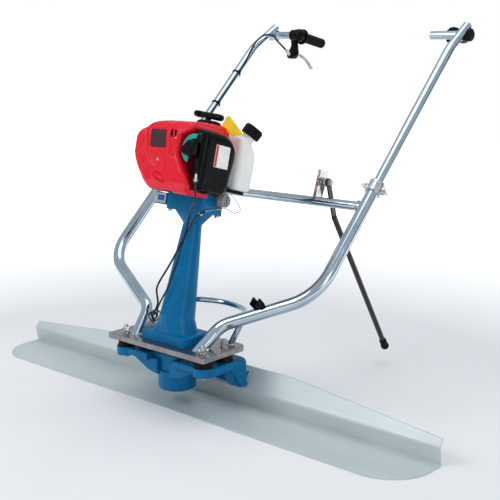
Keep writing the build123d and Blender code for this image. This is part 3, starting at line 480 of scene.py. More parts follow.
# ---------------- engine cover
COVER_LOW, COVER_HIGH = limits("engine_cover")
COVER_ROWS = 68
COVER_SIDE_STEPS = 12
COVER_FRONT_STEPS = 56
COVER_CORNER_STEPS = 8
VENT_PLACES = (8, 17)
SHIELD_DEPTH = 4.5
PANEL_DEPTH = 2.4
STEP_DEPTH = 5.0
RIB_HEIGHT = 3.0
SCOOP_DEPTH = 9.0
DIMPLE_DEPTH = 3.5
SCREW_X, SCREW_HEIGHT = -27, 65


def cover_left(height):
    """How far the cover reaches to the left at a height above its lower edge."""
    return COVER_LOW.x + along_table(height, [
        (0, 46), (6, 41), (16, 32), (30, 22), (46, 10), (60, 1), (76, -6), (110, -6), (120, -2), (127, 5),
        (131, 15), (134, 21), (139, 24), (145, 31), (150, 43), (154, 62)])


def cover_right(height):
    """How far the cover reaches to the right: a skirt flares out under the choke and the air cleaner."""
    return COVER_HIGH.x + along_table(height, [
        (0, 24), (6, 38), (13, 41), (22, 38), (42, 25), (60, 13), (72, 4), (80, 0), (120, 0), (132, 24),
        (154, 26)])


def cover_front(height):
    """How far the cover reaches forwards at a height."""
    return COVER_LOW.y + along_table(height, [
        (0, 16), (6, 8), (18, 3), (40, 0), (118, -1), (134, 2), (144, 8), (150, 16), (154, 28)])


def cover_details(x, height):
    """How deep the front skin is sunk at a place, in mm. Negative where it stands proud."""
    ridge = along_table(height, [(46, -18), (60, -44), (81, -56), (131, -67), (154, -74)])
    shield = eased(x, ridge - 2, ridge + 2) * eased(height, 46, 50) * (1 - eased(x, 2, 6))
    shield *= 1 - eased(height, 136, 146)
    depth = SHIELD_DEPTH * shield
    lean = (height - 110) * -0.14
    panel = eased(x - lean, -58.5, -56) * (1 - eased(x - lean, -9, -6.5))
    panel *= eased(height, 88, 90.5) * (1 - eased(height, 130, 132.5))
    depth += PANEL_DEPTH * panel
    depth += STEP_DEPTH * eased(x, 10, 13) * eased(height, 75, 78) * (1 - eased(height, 138, 150))
    across = x + (height - 120) * 0.35
    rib = eased(across, 25, 28) * (1 - eased(across, 32, 35))
    depth -= RIB_HEIGHT * rib * eased(height, 104, 110) * (1 - eased(height, 134, 142))
    scoop = ((x + 12) / 27) ** 2 + ((height - 24 + 0.3 * x) / 11) ** 2
    depth += SCOOP_DEPTH * (1 - eased(scoop, 0.0, 1.0))
    dimple = sqrt((x - SCREW_X) ** 2 + (height - SCREW_HEIGHT) ** 2)
    return depth + DIMPLE_DEPTH * (1 - eased(dimple, 4.0, 6.5))


def cover_ring(height, shrink):
    """Open ring round the cover's sides and front, from back to back. shrink closes it over the top."""
    back = COVER_HIGH.y
    middle = -20
    left = cover_left(height) + shrink * (middle - cover_left(height))
    right = cover_right(height) + shrink * (middle - cover_right(height))
    right -= 9 * eased(height, 140, 154) * (1 - shrink)
    front = cover_front(height) + shrink * (back - cover_front(height))
    size = 1 - shrink
    left_radius, right_radius = 24 * size + 0.1, 9 * size + 0.1
    ring = []
    for step in range(COVER_SIDE_STEPS):
        ring.append((left, back + (front + left_radius - back) * step / COVER_SIDE_STEPS))
    for step in range(COVER_SIDE_STEPS):
        angle = radians(180 + 90 * step / COVER_SIDE_STEPS)
        ring.append((left + left_radius * (1 + cos(angle)), front + left_radius * (1 + sin(angle))))
    for step in range(COVER_FRONT_STEPS + 1):
        x = left + left_radius + (right - right_radius - left - left_radius) * step / COVER_FRONT_STEPS
        ring.append((x, front + cover_details(x, height) * (shrink == 0)))
    for step in range(1, COVER_CORNER_STEPS + 1):
        angle = radians(270 + 90 * step / COVER_CORNER_STEPS)
        x = right - right_radius + right_radius * cos(angle)
        ring.append((x, front + right_radius * (1 + sin(angle))))
    side_start = front + right_radius
    for step in range(1, COVER_SIDE_STEPS + 1):
        y = side_start + (back - side_start) * step / COVER_SIDE_STEPS
        flare = max(0.0, right - COVER_HIGH.x) * size * eased(y, -105, -75) * (height < 80)
        ring.append((right - flare, y))
    return ring


def make_engine_cover():
    """Red moulded cover: an open-backed shell with its raised fields and two slanting vents."""
    full = COVER_HIGH.z - COVER_LOW.z
    rings = []
    for row in range(COVER_ROWS + 1):
        height = full * row / COVER_ROWS
        rings.append([(x, y, COVER_LOW.z + height) for x, y in cover_ring(height, 0)])
    for shrink in (0.08, 0.25, 0.5, 0.75, 0.97):
        crown = COVER_HIGH.z + 2 * sin(pi / 2 * shrink)
        rings.append([(x, y, crown) for x, y in cover_ring(full, shrink)])
    points, faces = skin(rings, closed=False, caps=False)
    cover = add_piece("engine_cover_skin", points, faces, "machine", "red_plastic", COLUMN,
                      replaces=["engine_cover"])
    finished(cover, THICKENED, SUBDIVIDED)
    baked(cover)
    for x in VENT_PLACES:
        vent = [(x, 397), (x + 6, 397), (x + 3, 415), (x - 3, 415)]
        slot = [[(px, y, pz) for px, pz in vent] for y in (COVER_LOW.y - 8, COVER_LOW.y + 22)]
        cut(cover, skin(slot), COLUMN)


def make_cover_lip():
    """Red skirt that runs under the air cleaner from the engine cover to the oil filler."""
    cleaner_low, cleaner_high = limits("air_cleaner_cover")
    low = (COVER_HIGH.x - 12, COVER_LOW.y + 14)
    high = (cleaner_high.x - 26, -40)
    rings = []
    start = COVER_LOW.z
    for z, inset in ((start - 3, 5), (start - 1, 1.5), (start + 3, 0), (cleaner_low.z - 0.6, 0)):
        ring = rounded_ring((low[0], low[1] + inset), (high[0] - inset, high[1]), (2, 14, 4, 2))
        rings.append([(x, y, z) for x, y in ring])
    add_piece("cover_skirt", *skin(rings), "machine", "red_plastic", COLUMN)


def plate_on_front(name, outline, y, thickness, finish):
    """Thin rounded plate facing forwards, from an outline of (x, z) in the column frame."""
    rings = []
    middle = [sum(values) / len(outline) for values in zip(*outline)]
    for depth, scale in ((0, 1.0), (-thickness * 0.7, 1.0), (-thickness, 0.985)):
        rings.append([(middle[0] + (x - middle[0]) * scale, y + depth, middle[1] + (z - middle[1]) * scale)
                      for x, z in outline])
    add_piece(name, *skin(rings), "machine", "black_plastic", COLUMN, finish)


def make_cover_trim():
    """Dark plain panel and the cover screw."""
    y = COVER_LOW.y
    upright = rounded_ring((-55.5, 374.5), (-10, 413), (3, 3, 3, 3), 4)
    outline = [(x - (z - 394) * 0.14, z) for x, z in upright]
    plate_on_front("cover_panel", outline, y + 7.5, 2.6, DARK_PANEL)
    head = turned([(0, 0), (0, 3.6), (1.6, 3.6), (2.4, 2.8), (2.4, 1.5), (1.2, 1.5), (1.2, 0)],
                  (SCREW_X, y + 8.5, COVER_LOW.z + SCREW_HEIGHT), (0, -1, 0), 24)
    add_piece("cover_screw", *head, "machine", "zinc", COLUMN)


# ---------------- recoil starter
def make_starter_cover():
    """Domed starter housing with radial cooling ribs."""
    low, high = limits("starter_cover")
    radius = high.x
    top = high.z - 12
    profile = [(low.z, radius - 3), (low.z, radius), (top - 16, radius), (top - 9, radius - 1.5),
               (top - 4, radius - 5), (top - 1, radius - 11), (top, radius - 18), (top + 0.5, 25),
               (top + 0.5, 0)]
    rings = []
    for height, reach in profile:
        grooved = 26 < reach < radius - 9 and height > top - 2
        ring = []
        for index, (cosine, sine) in enumerate(circle(96)):
            groove = 2.0 if grooved and index % 6 in (0, 1) else 0.0
            ring.append((reach * cosine, reach * sine, height - groove))
        rings.append(ring)
    add_piece("starter_housing", *skin(rings), "machine", "red_plastic", COLUMN, replaces=["starter_cover"])
    boss_profile = [(0, 0), (0, 27), (7, 27), (9.5, 25.5), (11, 22), (11.5, 16), (11.5, 0)]
    boss = turned(boss_profile, (-6, 6, top - 2), (0, 0, 1), 60, 30, 0.8, (0, 7.5))
    add_piece("starter_boss", *boss, "machine", "black_plastic", COLUMN)
    rope_low, rope_high = limits("starter_rope")
    guide = (rope_low + rope_high) / 2
    collar = turned([(0, 6), (3, 6.5), (5, 6), (6.6, 4.5), (6.6, 2.4), (0, 2.4), (0, 6)],
                    (guide.x, guide.y, high.z - 2), (0, 0, 1), 32)
    add_piece("rope_guide", *collar, "machine", "black_plastic", COLUMN)


def column_point(world_mm):
    """A world point in mm, in the column frame."""
    return COLUMN.inverted() @ (WORLD @ world_mm)


def make_starter_handle():
    """Black pull handle: a waisted T bar with an eye in it, on a short neck."""
    low, high = limits("starter_handle")
    middle_x, middle_y = (low.x + high.x) / 2, (low.y + high.y) / 2
    rings = []
    stations = [(0, 0.45, 0.50), (0.02, 0.72, 0.74), (0.07, 0.95, 0.94), (0.16, 1.0, 1.0),
                (0.30, 0.94, 0.92), (0.42, 0.90, 0.92), (0.5, 0.90, 0.96), (0.58, 0.90, 0.92),
                (0.70, 0.94, 0.92), (0.84, 1.0, 1.0), (0.93, 0.95, 0.94), (0.98, 0.72, 0.74),
                (1, 0.45, 0.50)]
    half_y = (high.y - low.y) / 2
    z_low = low.z + 2.8
    half_z = (high.z - z_low) / 2
    for share, wide, tall in stations:
        x = low.x + (high.x - low.x) * share
        ring = []
        for cosine, sine in circle(24):
            swell = (abs(cosine) ** 2.6 + abs(sine) ** 2.6) ** (-1 / 2.6)
            ring.append((x, middle_y + half_y * wide * swell * cosine,
                         z_low + half_z + half_z * tall * swell * sine - 0.1 * (x - middle_x)))
        rings.append(ring)
    handle = add_piece("pull_handle", *skin(rings), "starter_grip", "black_plastic", COLUMN,
                       replaces=["starter_handle"])
    finished(handle, SUBDIVIDED)
    baked(handle)
    eye = rounded_ring((low.x + 17, z_low + 5.4), (low.x + 29, high.z - 1.8), (3, 3, 3, 3), 4)
    slot = [[(x, middle_y + side, z) for x, z in eye] for side in (-30, 30)]
    cut(handle, skin(slot), COLUMN)
    neck = turned([(0, 2.2), (0, 5.5), (3, 6.5), (6, 8), (6, 2.2), (0, 2.2)],
                  (middle_x, middle_y, low.z), (0, 0, 1), 24)
    add_piece("pull_handle_neck", *neck, "starter_grip", "black_plastic", COLUMN)


def make_starter_rope():
    """Starter cord that stretches between the starter and the pull handle."""
    low, high = limits("starter_rope")
    centre = (low + high) / 2
    stations = 60
    path = [Vector((centre.x, centre.y, low.z + (high.z - low.z) * step / stations))
            for step in range(stations + 1)]
    rope = add_piece("starter_cord", *tube(path, 1.9, 10), None, "rope", COLUMN, replaces=["starter_rope"])
    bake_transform(rope)


# ---------------- air cleaner and choke
CLEANER_STEP = 25


def cleaner_point(low, high, x, y, z):
    """Place on the air cleaner cover: its inner edge and its back lean in towards the lower end, and the
    part behind the choke lever is set back from the front."""
    start = low.x + along_table(z - low.z, [(0, 30), (50, 27), (80, 18), (131, 4)])
    placed_x = start + (high.x - start) * (x - low.x) / (high.x - low.x)
    middle = (low.y + high.y) / 2
    inner = 1 - eased(x - low.x, CLEANER_STEP - 5, CLEANER_STEP)
    if y > middle:
        y -= 17 * (1 - eased(z - low.z, 0, 100)) * (y - middle) / (high.y - middle)
    else:
        y += 13 * inner * (middle - y) / (middle - low.y)
    tall = (low.z + high.z) / 2
    if z > tall:
        z -= 8 * inner * (z - tall) / (high.z - tall)
    return (placed_x, y, z)


def make_air_cleaner():
    """Black hollow cover with a plain label on its outer face and a knob below."""
    low, high = limits("air_cleaner_cover")
    stations = [(0, 0), (1.5, 0), (12, 0), (19, 0), (20, 0), (21.5, 0), (23.5, 0), (25, 0), (27, 0),
                (38, 0.6), (45, 1.8), (50, 4.5), (54, 8.5), (56.3, 13), (57, 18), (57.3, 26)]
    widest = stations[-1][0]
    rings = []
    for x, inset in stations:
        radii = [max(3, radius - inset) for radius in (20, 22, 52, 15)]
        ring = rounded_ring((low.y + inset, low.z + inset), (high.y - inset, high.z - inset), radii, 10)
        placed_x = low.x + x * (high.x - low.x) / widest
        rings.append([cleaner_point(low, high, placed_x, y, z) for y, z in ring])
    points, faces = skin(rings, caps=False)
    faces.append(tuple(range(len(points) - len(rings[-1]), len(points))))
    cleaner = add_piece("cleaner_cover", points, faces, "machine", "black_plastic", COLUMN,
                        replaces=["air_cleaner_cover"])
    finished(cleaner, THICKENED, SUBDIVIDED)
    baked(cleaner)
    label_ring = rounded_ring((-22, -24), (22, 24), (2, 2, 2, 2), 3)
    band_ring = rounded_ring((-21, -23), (-14.5, 23), (1, 1, 1, 1), 3)
    for name, outline, lift, finish in (("cleaner_label", label_ring, 0.9, LABEL_WHITE),
                                        ("cleaner_label_band", band_ring, 1.3, LABEL_RED)):
        rings = [[(high.x - 0.5 + x, -45 + y, 372.5 + z) for y, z in outline] for x in (0, lift)]
        add_piece(name, *skin(rings), "machine", "black_plastic", COLUMN, finish)
    knob_place = (low.x + 40, low.y + 40, low.z + 3)
    knob = turned([(0, 0), (0, 9), (5, 9), (7, 7.5), (7.5, 0)], knob_place, (0, 0, -1), 32,
                  ribs=12, rib_depth=1.2, rib_span=(0, 5))
    add_piece("cleaner_knob", *knob, "machine", "black_plastic", COLUMN)


def make_choke():
    """Green choke lever with its black finger pad."""
    point, _ = joint_axis("choke_turn")
    centre = column_point(point)
    _, high = limits("choke_lever")
    sector = []
    for radius, angles in ((32, range(78, 250, 6)), (21, range(246, 74, -6))):
        for degrees in angles:
            angle = radians(degrees)
            sector.append((radius * cos(angle), radius * sin(angle)))
    arm = [(-26, -5), (-5, -6), (-4, 0), (-5, 6), (-26, 5)]

    def plate(outline, depths):
        """Outline about the lever's axis at some (depth, scale) pairs in front of its seat."""
        return skin([[(centre.x + x * scale, high.y - depth, centre.z + z * scale) for x, z in outline]
                     for depth, scale in depths])

    shape = joined(plate(sector, ((0.4, 1), (3.4, 1))), plate(arm, ((0.4, 1), (3.6, 1))))
    lever = add_piece("choke_sector", *shape, "choke", "green_plastic", COLUMN, replaces=["choke_lever"])
    finished(lever, bevelled(0.6, 2))
    outline = [(-21, -9), (-11, -16), (14, -16), (15, 0), (14, 17), (-4, 17), (-20, 1)]
    pad_shape = plate(outline, ((2, 0.96), (16, 1.0), (19, 0.84)))
    pad = add_piece("choke_pad", *pad_shape, "choke", "black_plastic", COLUMN)
    finished(pad, bevelled(3, 4))


# ---------------- tank, caps and tag
def make_fuel_tank():
    """Milky blow-moulded tank with a seam rib, a slanting back shoulder and a filler neck."""
    cap_point, cap_direction = joint_axis("fuel_cap_turn")
    box_low, _ = limits("fuel_tank")
    neck = column_point(cap_point)
    direction = (COLUMN.inverted().to_3x3() @ cap_direction).normalized()
    left, right, front, back = box_low.x, 60, box_low.y, 112
    bottom, shoulder = box_low.z, 398
    slant = 0.72
    rings = []
    for rise, inset in ((0, 12), (0.5, 6), (2.5, 2.2), (6, 0.5), (12, 0), (40, -0.8), (60, -0.8),
                        (62, -0.2), (64, -0.8), (80, -0.5), (88, 0), (96, 0), (104, 0.4), (112, 1.2),
                        (118, 3), (122, 7), (124, 13)):
        height = bottom + rise
        step_back = max(0.0, height - shoulder) * slant
        ring = rounded_ring((left + inset, front + inset), (right - inset, back - inset - step_back),
                            [max(4, 13 - inset * 0.5)] * 4, 6)
        rings.append([(x, y, height) for x, y in ring])
    body = skin(rings)
    spout = turned([(-22, 21), (-10, 18.5), (-3, 16.5), (0, 15.4), (3, 14.6), (8, 14.6), (9, 16), (11, 16),
                    (12, 14.5), (20, 14.5)], neck, direction, 40)
    tank = add_piece("tank_shell", *joined(body, spout), "machine", "tank_plastic", COLUMN,
                     replaces=["fuel_tank"])
    finished(tank, SUBDIVIDED)


def make_fuel_cap():
    """Black screw cap with grip ribs and a raised rim."""
    point, direction = joint_axis("fuel_cap_turn")
    low, high = limits("fuel_cap", WORLD)
    middle = (low + high) / 2
    centre = point + direction * direction.dot(middle - point)
    height = 24
    profile = [(0, 15.2), (0, 21), (0.8, 22), (2, 22), (3, 21), (height - 4, 21), (height - 3, 21.6),
               (height - 1, 21), (height, 19.5), (height, 17.5), (height - 2.0, 16.5), (height - 2.0, 0)]
    shape = turned(profile, centre - direction * height / 2, direction, 144, 24, 1.6, (3, height - 4))
    add_piece("fuel_screw_cap", *shape, "fuel_filler_cap", "black_plastic", replaces=["fuel_cap"])


def make_tag():
    """Plain yellow card tag that hangs between the starter and the tank."""
    outline = [(33, 431), (25, 445), (40, 469), (48, 471), (89, 438), (93, 431), (64, 426), (55, 434)]
    rings = []
    for side in (-0.5, 0.5):
        ring = []
        for x, z in outline:
            ring.append((x, 10 + side + 0.003 * (x - 55) ** 2, z))
        rings.append(ring)
    tag = add_piece("card_tag", *skin(rings), "machine", "black_plastic", COLUMN, YELLOW)
    finished(tag, bevelled(0.3, 2))


# ---------------- cables and wires
def make_column_cables():
    """Black sheathed cables that hang down the front of the column."""
    outer = [(84, -98, 338), (96, -112, 324), (104, -120, 308), (111, -124, 294), (110, -121, 280),
             (93, -103, 268), (64, -76, 258), (34, -48, 243), (27, -43, 222), (23, -42, 196), (8, -42, 160),
             (-12, -42, 120), (-32, -42, 84), (-38, -40, 64), (-32, -36, 38), (-42, -31, 17), (-50, -24, 8)]
    inner = [(56, -26, 254), (48, -44, 238), (36, -44, 214), (23, -43, 184), (14, -43, 140), (3, -45, 84),
             (-11, -47, 48), (-22, -44, 26), (-26, -38, 14)]
    shapes = [tube(smooth_path(path), radius) for path, radius in ((outer, 2.2), (inner, 1.9))]
    add_piece("hanging_cables", *joined(*shapes), "machine", "black_cable", COLUMN,
              replaces=["column_cables"])
    wire = [(55, 14, 300), (57, 32, 303), (58, 56, 296), (58, 80, 280), (57, 86, 270), (56, 68, 262),
            (57, 40, 268), (57, 8, 263), (56, -26, 254)]
    add_piece("stop_wire", *tube(smooth_path(wire), 1.2, 8), "machine", "zinc", COLUMN)
    ferrule = turned([(0, 2.2), (0, 3.6), (4, 3.6), (4, 4.4), (8, 4.4), (8, 3.4), (17, 3.0), (20, 2.4),
                      (20, 2.0)], (104.5, -120.3, 307), (-0.45, 0.35, 1), 16)
    add_piece("cable_ferrule", *ferrule, "machine", "zinc", COLUMN)
    loops = []
    for index, size in enumerate((11, 9, 12)):
        loop = []
        for step in range(25):
            angle = 2 * pi * step / 24
            loop.append(Vector((-54 + size * cos(angle), -24 + index * 5 + 3 * sin(2 * angle),
                                2 + index * 2 + size * sin(angle))))
        loops.append(tube(loop, 1.6, 8))
    add_piece("spare_cable_coil", *joined(*loops), "machine", "black_cable", COLUMN)


THROTTLE_SHEATH_RADIUS = 2.5


def beside_left_tube(distance):
    """Cable centre beside the left handle tube, at a distance up from the tube's lower end."""
    up = Vector(JOINTS["left_handle_height"]["axis"]).normalized()
    points = [vertex.co * 1000 for vertex in frame["nodes"]["left_handle_tube"].data.vertices]
    lowest = min(point.dot(up) for point in points)
    end_points = [point for point in points if point.dot(up) < lowest + 0.5]
    end = sum(end_points, Vector()) / len(end_points)
    turn = radians(20)
    outward = Vector((cos(turn), -up.z * sin(turn), up.y * sin(turn)))
    tube_radius, cable_gap = 11, 0.8
    return end + up * distance + outward * (tube_radius + THROTTLE_SHEATH_RADIUS + cable_gap)


def make_throttle_cable():
    """Sheathed cable from the lever bracket, tied down the left handle tube."""
    tilt, _ = joint_axis("left_handle_tilt")
    loop = [(-243, -17, -44), (-256, -25, -28), (-272, -27, -14), (-281, -29, -3), (-287, -46, 2),
            (-290, -68, -2), (-291, -92, -16), (-291, -112, -36)]
    loop = [Vector((x, tilt.y + y, tilt.z + z)) for x, y, z in loop]
    tied = [beside_left_tube(distance) for distance in (512, 492, 472, 430, 350, 280, 225)]
    shape = tube(smooth_path(loop + tied), THROTTLE_SHEATH_RADIUS)
    cable = add_piece("throttle_sheath", *shape, None, "black_cable", replaces=["throttle_cable"])
    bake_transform(cable)


# ---------------- grips, foot and bolts
def ribbed_profile(length, radius, pitch, depth, end_radius):
    """Profile of a grip: rings along its length and a rounded closed end."""
    profile = []
    distance = 7.0
    while distance < length - 8:
        profile += [(distance, radius - depth), (distance + pitch * 0.25, radius),
                    (distance + pitch * 0.6, radius), (distance + pitch * 0.8, radius - depth)]
        distance += pitch
    profile += [(length - 6, radius), (length - 2, radius - 1), (length, end_radius), (length, 0)]
    return profile


def make_grip(side):
    """Ribbed rubber grip with a collar at its inner end."""
    node = f"{side}_grip"
    centre, direction, half = turned_axis(node)
    if direction.y < 0:
        direction = -direction
    start = centre - direction * half
    profile = [(0, 10.6), (0, 20.5), (1.2, 21.5), (3.8, 21.5), (5, 20.5), (5.4, 14.5)]
    profile += ribbed_profile(2 * half, 13.6, 5.0, 1.0, 9)
    shape = turned(profile, start, direction, 40)
    add_piece(f"{side}_rubber_grip", *shape, f"{side}_handle", "black_rubber", replaces=[node])


def make_lever_bracket():
    """Black clamp, neck and lever housing on the left bar, with a bright cable adjuster."""
    tilt, _ = joint_axis("left_handle_tilt")
    low, high = limits("lever_bracket", WORLD)

    def near_bar(x, y, z):
        return Vector((x, tilt.y + y, tilt.z + z))

    ring_start = high.x - 13
    clamp = turned([(-10, 10.6), (-10, 14.6), (-8.5, 15.6), (2, 15.6), (10, 17), (20, 17.5), (26, 15.5),
                    (30.5, 10), (32, 0)], near_bar(ring_start, 0, 0), (1, 0, 0), 40)
    neck_rings = []
    for y, z, half_y, half_x in ((3, -9, 10, 7), (6, -20, 9, 7), (7, -30, 9, 8), (4, -38, 12, 9),
                                 (1, -46, 16, 10.5), (-2, -54, 18, 11), (-3, -61, 15, 10), (-3, -65, 9, 7)):
        ring = rounded_ring((-half_x, -half_y), (half_x, half_y), (min(half_x, half_y) * 0.55,) * 4, 4)
        neck_rings.append([near_bar(low.x + 13 + x, y + across, z) for x, across in ring])
    bracket = add_piece("lever_clamp", *joined(clamp, skin(neck_rings)), "left_handle", "black_plastic",
                        replaces=["lever_bracket"])
    finished(bracket, SUBDIVIDED)
    adjuster_profile = [(0, 2.6), (0, 5), (5, 5), (5.5, 4.2), (9, 4.2), (9.5, 5.2), (13, 5.2), (13.6, 3.4),
                        (18, 3.2), (18, 2.6)]
    adjuster = turned(adjuster_profile, near_bar(low.x + 13, -17, -52), (0, -0.78, 0.62), 24,
                      ribs=12, rib_depth=0.5, rib_span=(9.5, 13))
    add_piece("cable_adjuster", *adjuster, "left_handle", "zinc")


def make_throttle_lever():
    """Polished lever: a flattened, curved blade that ends in a ball."""
    pivot, _ = joint_axis("throttle_squeeze")
    arc = smooth_path([(0, 0, 0), (0, 16, -3), (0, 34, -10), (0, 51, -22), (0, 64, -34), (0, 68, -38)], 6)
    rings = []
    for index, point in enumerate(arc):
        share = index / (len(arc) - 1)
        half_wide = 6.5 - 1.7 * eased(share, 0.1, 0.6) + 1.2 * eased(share, 0.86, 1.0)
        half_thick = 4.6 - 1.0 * eased(share, 0.0, 0.5) + 1.6 * eased(share, 0.88, 1.0)
        ahead = (arc[min(index + 1, len(arc) - 1)] - arc[max(index - 1, 0)]).normalized()
        across = Vector((1, 0, 0))
        above = across.cross(ahead)
        if index == len(arc) - 1:
            half_wide, half_thick = 2.0, 2.0
        rings.append([pivot + point + across * half_wide * cosine + above * half_thick * sine
                      for cosine, sine in circle(16)])
    lever = add_piece("throttle_blade", *skin(rings), "throttle_trigger", "machined_steel",
                      replaces=["throttle_lever"])
    finished(lever, SUBDIVIDED)


RAIL_FOOT = Vector((99, -40))
BRACE_FOOT = Vector((121, 30))
MOUNT_PLACES = [(-122, -57), (122, -57), (-124, 8), (124, 8)]


def make_exciter_webs():
    """Cast side walls that run from the front ears back to the blade, and gussets under the front arms."""
    wall = [(-57, 97), (-57, 117.5), (52, 117.5), (57, 108), (57, 74), (62.5, 51), (44, 51), (30, 66),
            (20, 90), (4, 98)]
    wall_inner_outer = (126, 146)
    gusset = [(18, 70), (50, 76), (92, 96), (122, 99), (122, 106), (18, 106)]
    gusset_front_back = (-60, -44)
    shapes = []
    for side in (-1, 1):
        shapes.append(skin([[(x * side, y, z) for y, z in wall] for x in wall_inner_outer]))
        shapes.append(skin([[(x * side, y, z) for x, z in gusset] for y in gusset_front_back]))
    webs = add_piece("exciter_webs", *joined(*shapes), "machine", "blue_casting")
    finished(webs, bevelled(4, 4))


def make_rear_braces():
    """Curved brace from the right rail to the back of the column, and a strut under each rail."""
    low, high = limits("rear_braces", WORLD)
    curve = [(high.x - 5, 36, 226), (140, 52, 227), (104, 65, 227), (66, 66, 228), (30, 50, 230),
             (0, 30, 231)]
    shapes = [tube(smooth_path(curve), 6, 20)]
    for side in (-1, 1):
        foot = Vector((BRACE_FOOT.x * side, BRACE_FOOT.y, low.z - 1))
        top = Vector(((high.x - 4) * side, 27, 214))
        bend = foot.lerp(top, 0.55) + Vector((0, 4, 4))
        shapes.append(tube(smooth_path([foot, bend, top]), 7, 20))
    add_piece("brace_tubes", *joined(*shapes), "machine", "chrome_tube", replaces=["rear_braces"])


def make_bar_end():
    """Black rubber plug and sleeve on the outer end of the right handle bar."""
    point, _ = joint_axis("right_handle_tilt")
    _, high = limits("right_handle_bar", WORLD)
    profile = [(-18, 14.8), (-18, 15.6), (-16, 16.2), (-2, 16.2), (1.5, 15), (4, 12), (5.5, 7), (6, 0)]
    shape = turned(profile, (high.x, point.y, point.z), (1, 0, 0), 40)
    add_piece("bar_end_sleeve", *shape, "right_handle", "black_rubber")


def make_stand_foot():
    """Rubber ball foot with a ribbed sleeve."""
    low, high = limits("stand_foot", WORLD)
    ball_radius = 10.5
    ball = Vector(((low.x + high.x) / 2, high.y - ball_radius, low.z + ball_radius))
    bend = Vector((ball.x, 303, 404))
    direction = (ball - bend).normalized()
    profile = [(-22, 6.6), (-22, 8.4), (-20, 9), (-17, 9), (-16, 8.2), (-14, 8.2), (-13, 9), (-10, 9),
               (-9, 8.6), (-6, 9.2), (-3, 10.1), (0, ball_radius), (3, 10.1), (6, 8.6), (8.5, 6.2), (10, 3.2),
               (ball_radius, 0)]
    add_piece("rubber_foot", *turned(profile, ball, direction, 36), "kickstand", "black_rubber",
              replaces=["stand_foot"])


def nut(across_corners, height, bore):
    """Hexagon nut about its own z axis from z 0, with rounded-off corners at both ends."""
    rings = []
    for z, cone in ((0, 0.90), (height * 0.16, 1.0), (height * 0.84, 1.0), (height, 0.90)):
        ring = []
        for index in range(48):
            angle = 2 * pi * index / 48
            flat = cos(pi / 6) / cos((angle + pi / 6) % (pi / 3) - pi / 6)
            reach = across_corners / 2 * min(flat, cone)
            ring.append((reach * cos(angle), reach * sin(angle), z))
        rings.append(ring)
    rings.append([(bore * cosine, bore * sine, height) for cosine, sine in circle(48)])
    return skin(rings)


def stud(radius, start, end, pitch=1.5):
    """Threaded rod about z, with a bevelled tip."""
    profile = [(start, 0)]
    height = start
    while height < end - 2:
        profile += [(height, radius), (height + pitch / 2, radius - 0.55)]
        height += pitch
    profile += [(end - 1.2, radius - 0.3), (end, radius - 1.5), (end, 0)]
    return turned(profile, (0, 0, 0), (0, 0, 1), 24)


def shifted(shape, offset):
    """A (points, faces) shape moved by an offset."""
    points, faces = shape
    return [Vector(point) + Vector(offset) for point in points], faces


def make_mount_bolts():
    """Bolts through the rubber mounts: washer, two nuts and a threaded end."""
    low, high = limits("mount_bolts", WORLD)
    _, plate_high = limits("base_plate", WORLD)
    washer_profile = [(0, 5), (0, 9.5), (1.6, 9.5), (2, 9.1), (2, 5)]
    shapes = []
    for x, y in MOUNT_PLACES:
        washer = turned(washer_profile, (0, 0, plate_high.z), (0, 0, 1), 32)
        parts = [stud(4.9, low.z, high.z), washer, shifted(nut(17, 7.4, 4), (0, 0, plate_high.z + 2)),
                 shifted(nut(15, 4, 4), (0, 0, plate_high.z + 9.5)),
                 shifted(nut(15, 6, 4), (0, 0, low.z + 2))]
        shapes += [shifted(part, (x, y, 0)) for part in parts]
    piece = add_piece("mount_studs", *joined(*shapes), "machine", "zinc", replaces=["mount_bolts"])
    for polygon in piece.data.polygons:
        polygon.use_smooth = False


# ---------------- welds and labels
def weld_ring(centre, direction, radius, bead=2.0, squash=1.0):
    """Rippled weld bead round a tube."""
    first, second = square_to(direction)
    around = circle(60)
    path = [Vector(centre) + first * radius * cosine + second * radius * squash * sine
            for cosine, sine in around + around[:1]]
    return tube(path, bead, 8, 0.22, 3.4)


def make_welds():
    """Weld beads where the rails stand on the plate and where the cross tube meets the rails."""
    cross_low, cross_high = limits("cross_tube", WORLD)
    _, plate_high = limits("base_plate", WORLD)
    y = (cross_low.y + cross_high.y) / 2
    z = (cross_low.z + cross_high.z) / 2
    weld_z = plate_high.z + 0.4
    up = (0, 0, 1)
    beads = []
    for side in (-1, 1):
        end = (cross_high.x - 9) * side
        beads.append(weld_ring((end, y, z), (1, 0, 0), 11.5, 1.9))
        beads.append(weld_ring((RAIL_FOOT.x * side, RAIL_FOOT.y, weld_z), up, 15.5, 2.4, 1.12))
        beads.append(weld_ring((BRACE_FOOT.x * side, BRACE_FOOT.y, weld_z), up, 8.5, 1.8))
    add_piece("weld_beads", *joined(*beads), "machine", "zinc")


def make_head_plate_trim():
    """Pale plain plate on the clutch head's side piece, with a plain blue field."""
    low, high = limits("head_side_plate")
    outer = rounded_ring((low.x + 2, low.z + 2), (high.x - 1, high.z - 2), (3, 1, 1, 3), 3)
    plate_on_front("head_plate", outer, low.y, 1.4, FINISHES["zinc"])
    inner = rounded_ring((low.x + 14, low.z + 8), (high.x - 6, high.z - 6), (1, 1, 1, 1), 3)
    plate_on_front("head_plate_field", inner, low.y - 1.2, 0.8, LABEL_BLUE)


# ---------------- stage
def add_light(name, location, target, size, power):
    """Soft rectangular lamp aimed at a point, in metres."""
    lamp = bpy.data.lights.new(name, "AREA")
    lamp.shape = "RECTANGLE"
    lamp.size, lamp.size_y = size
    lamp.energy = power
    light = linked(name, lamp)
    light.location = location
    light.rotation_euler = (Vector(target) - Vector(location)).to_track_quat("-Z", "Y").to_euler()


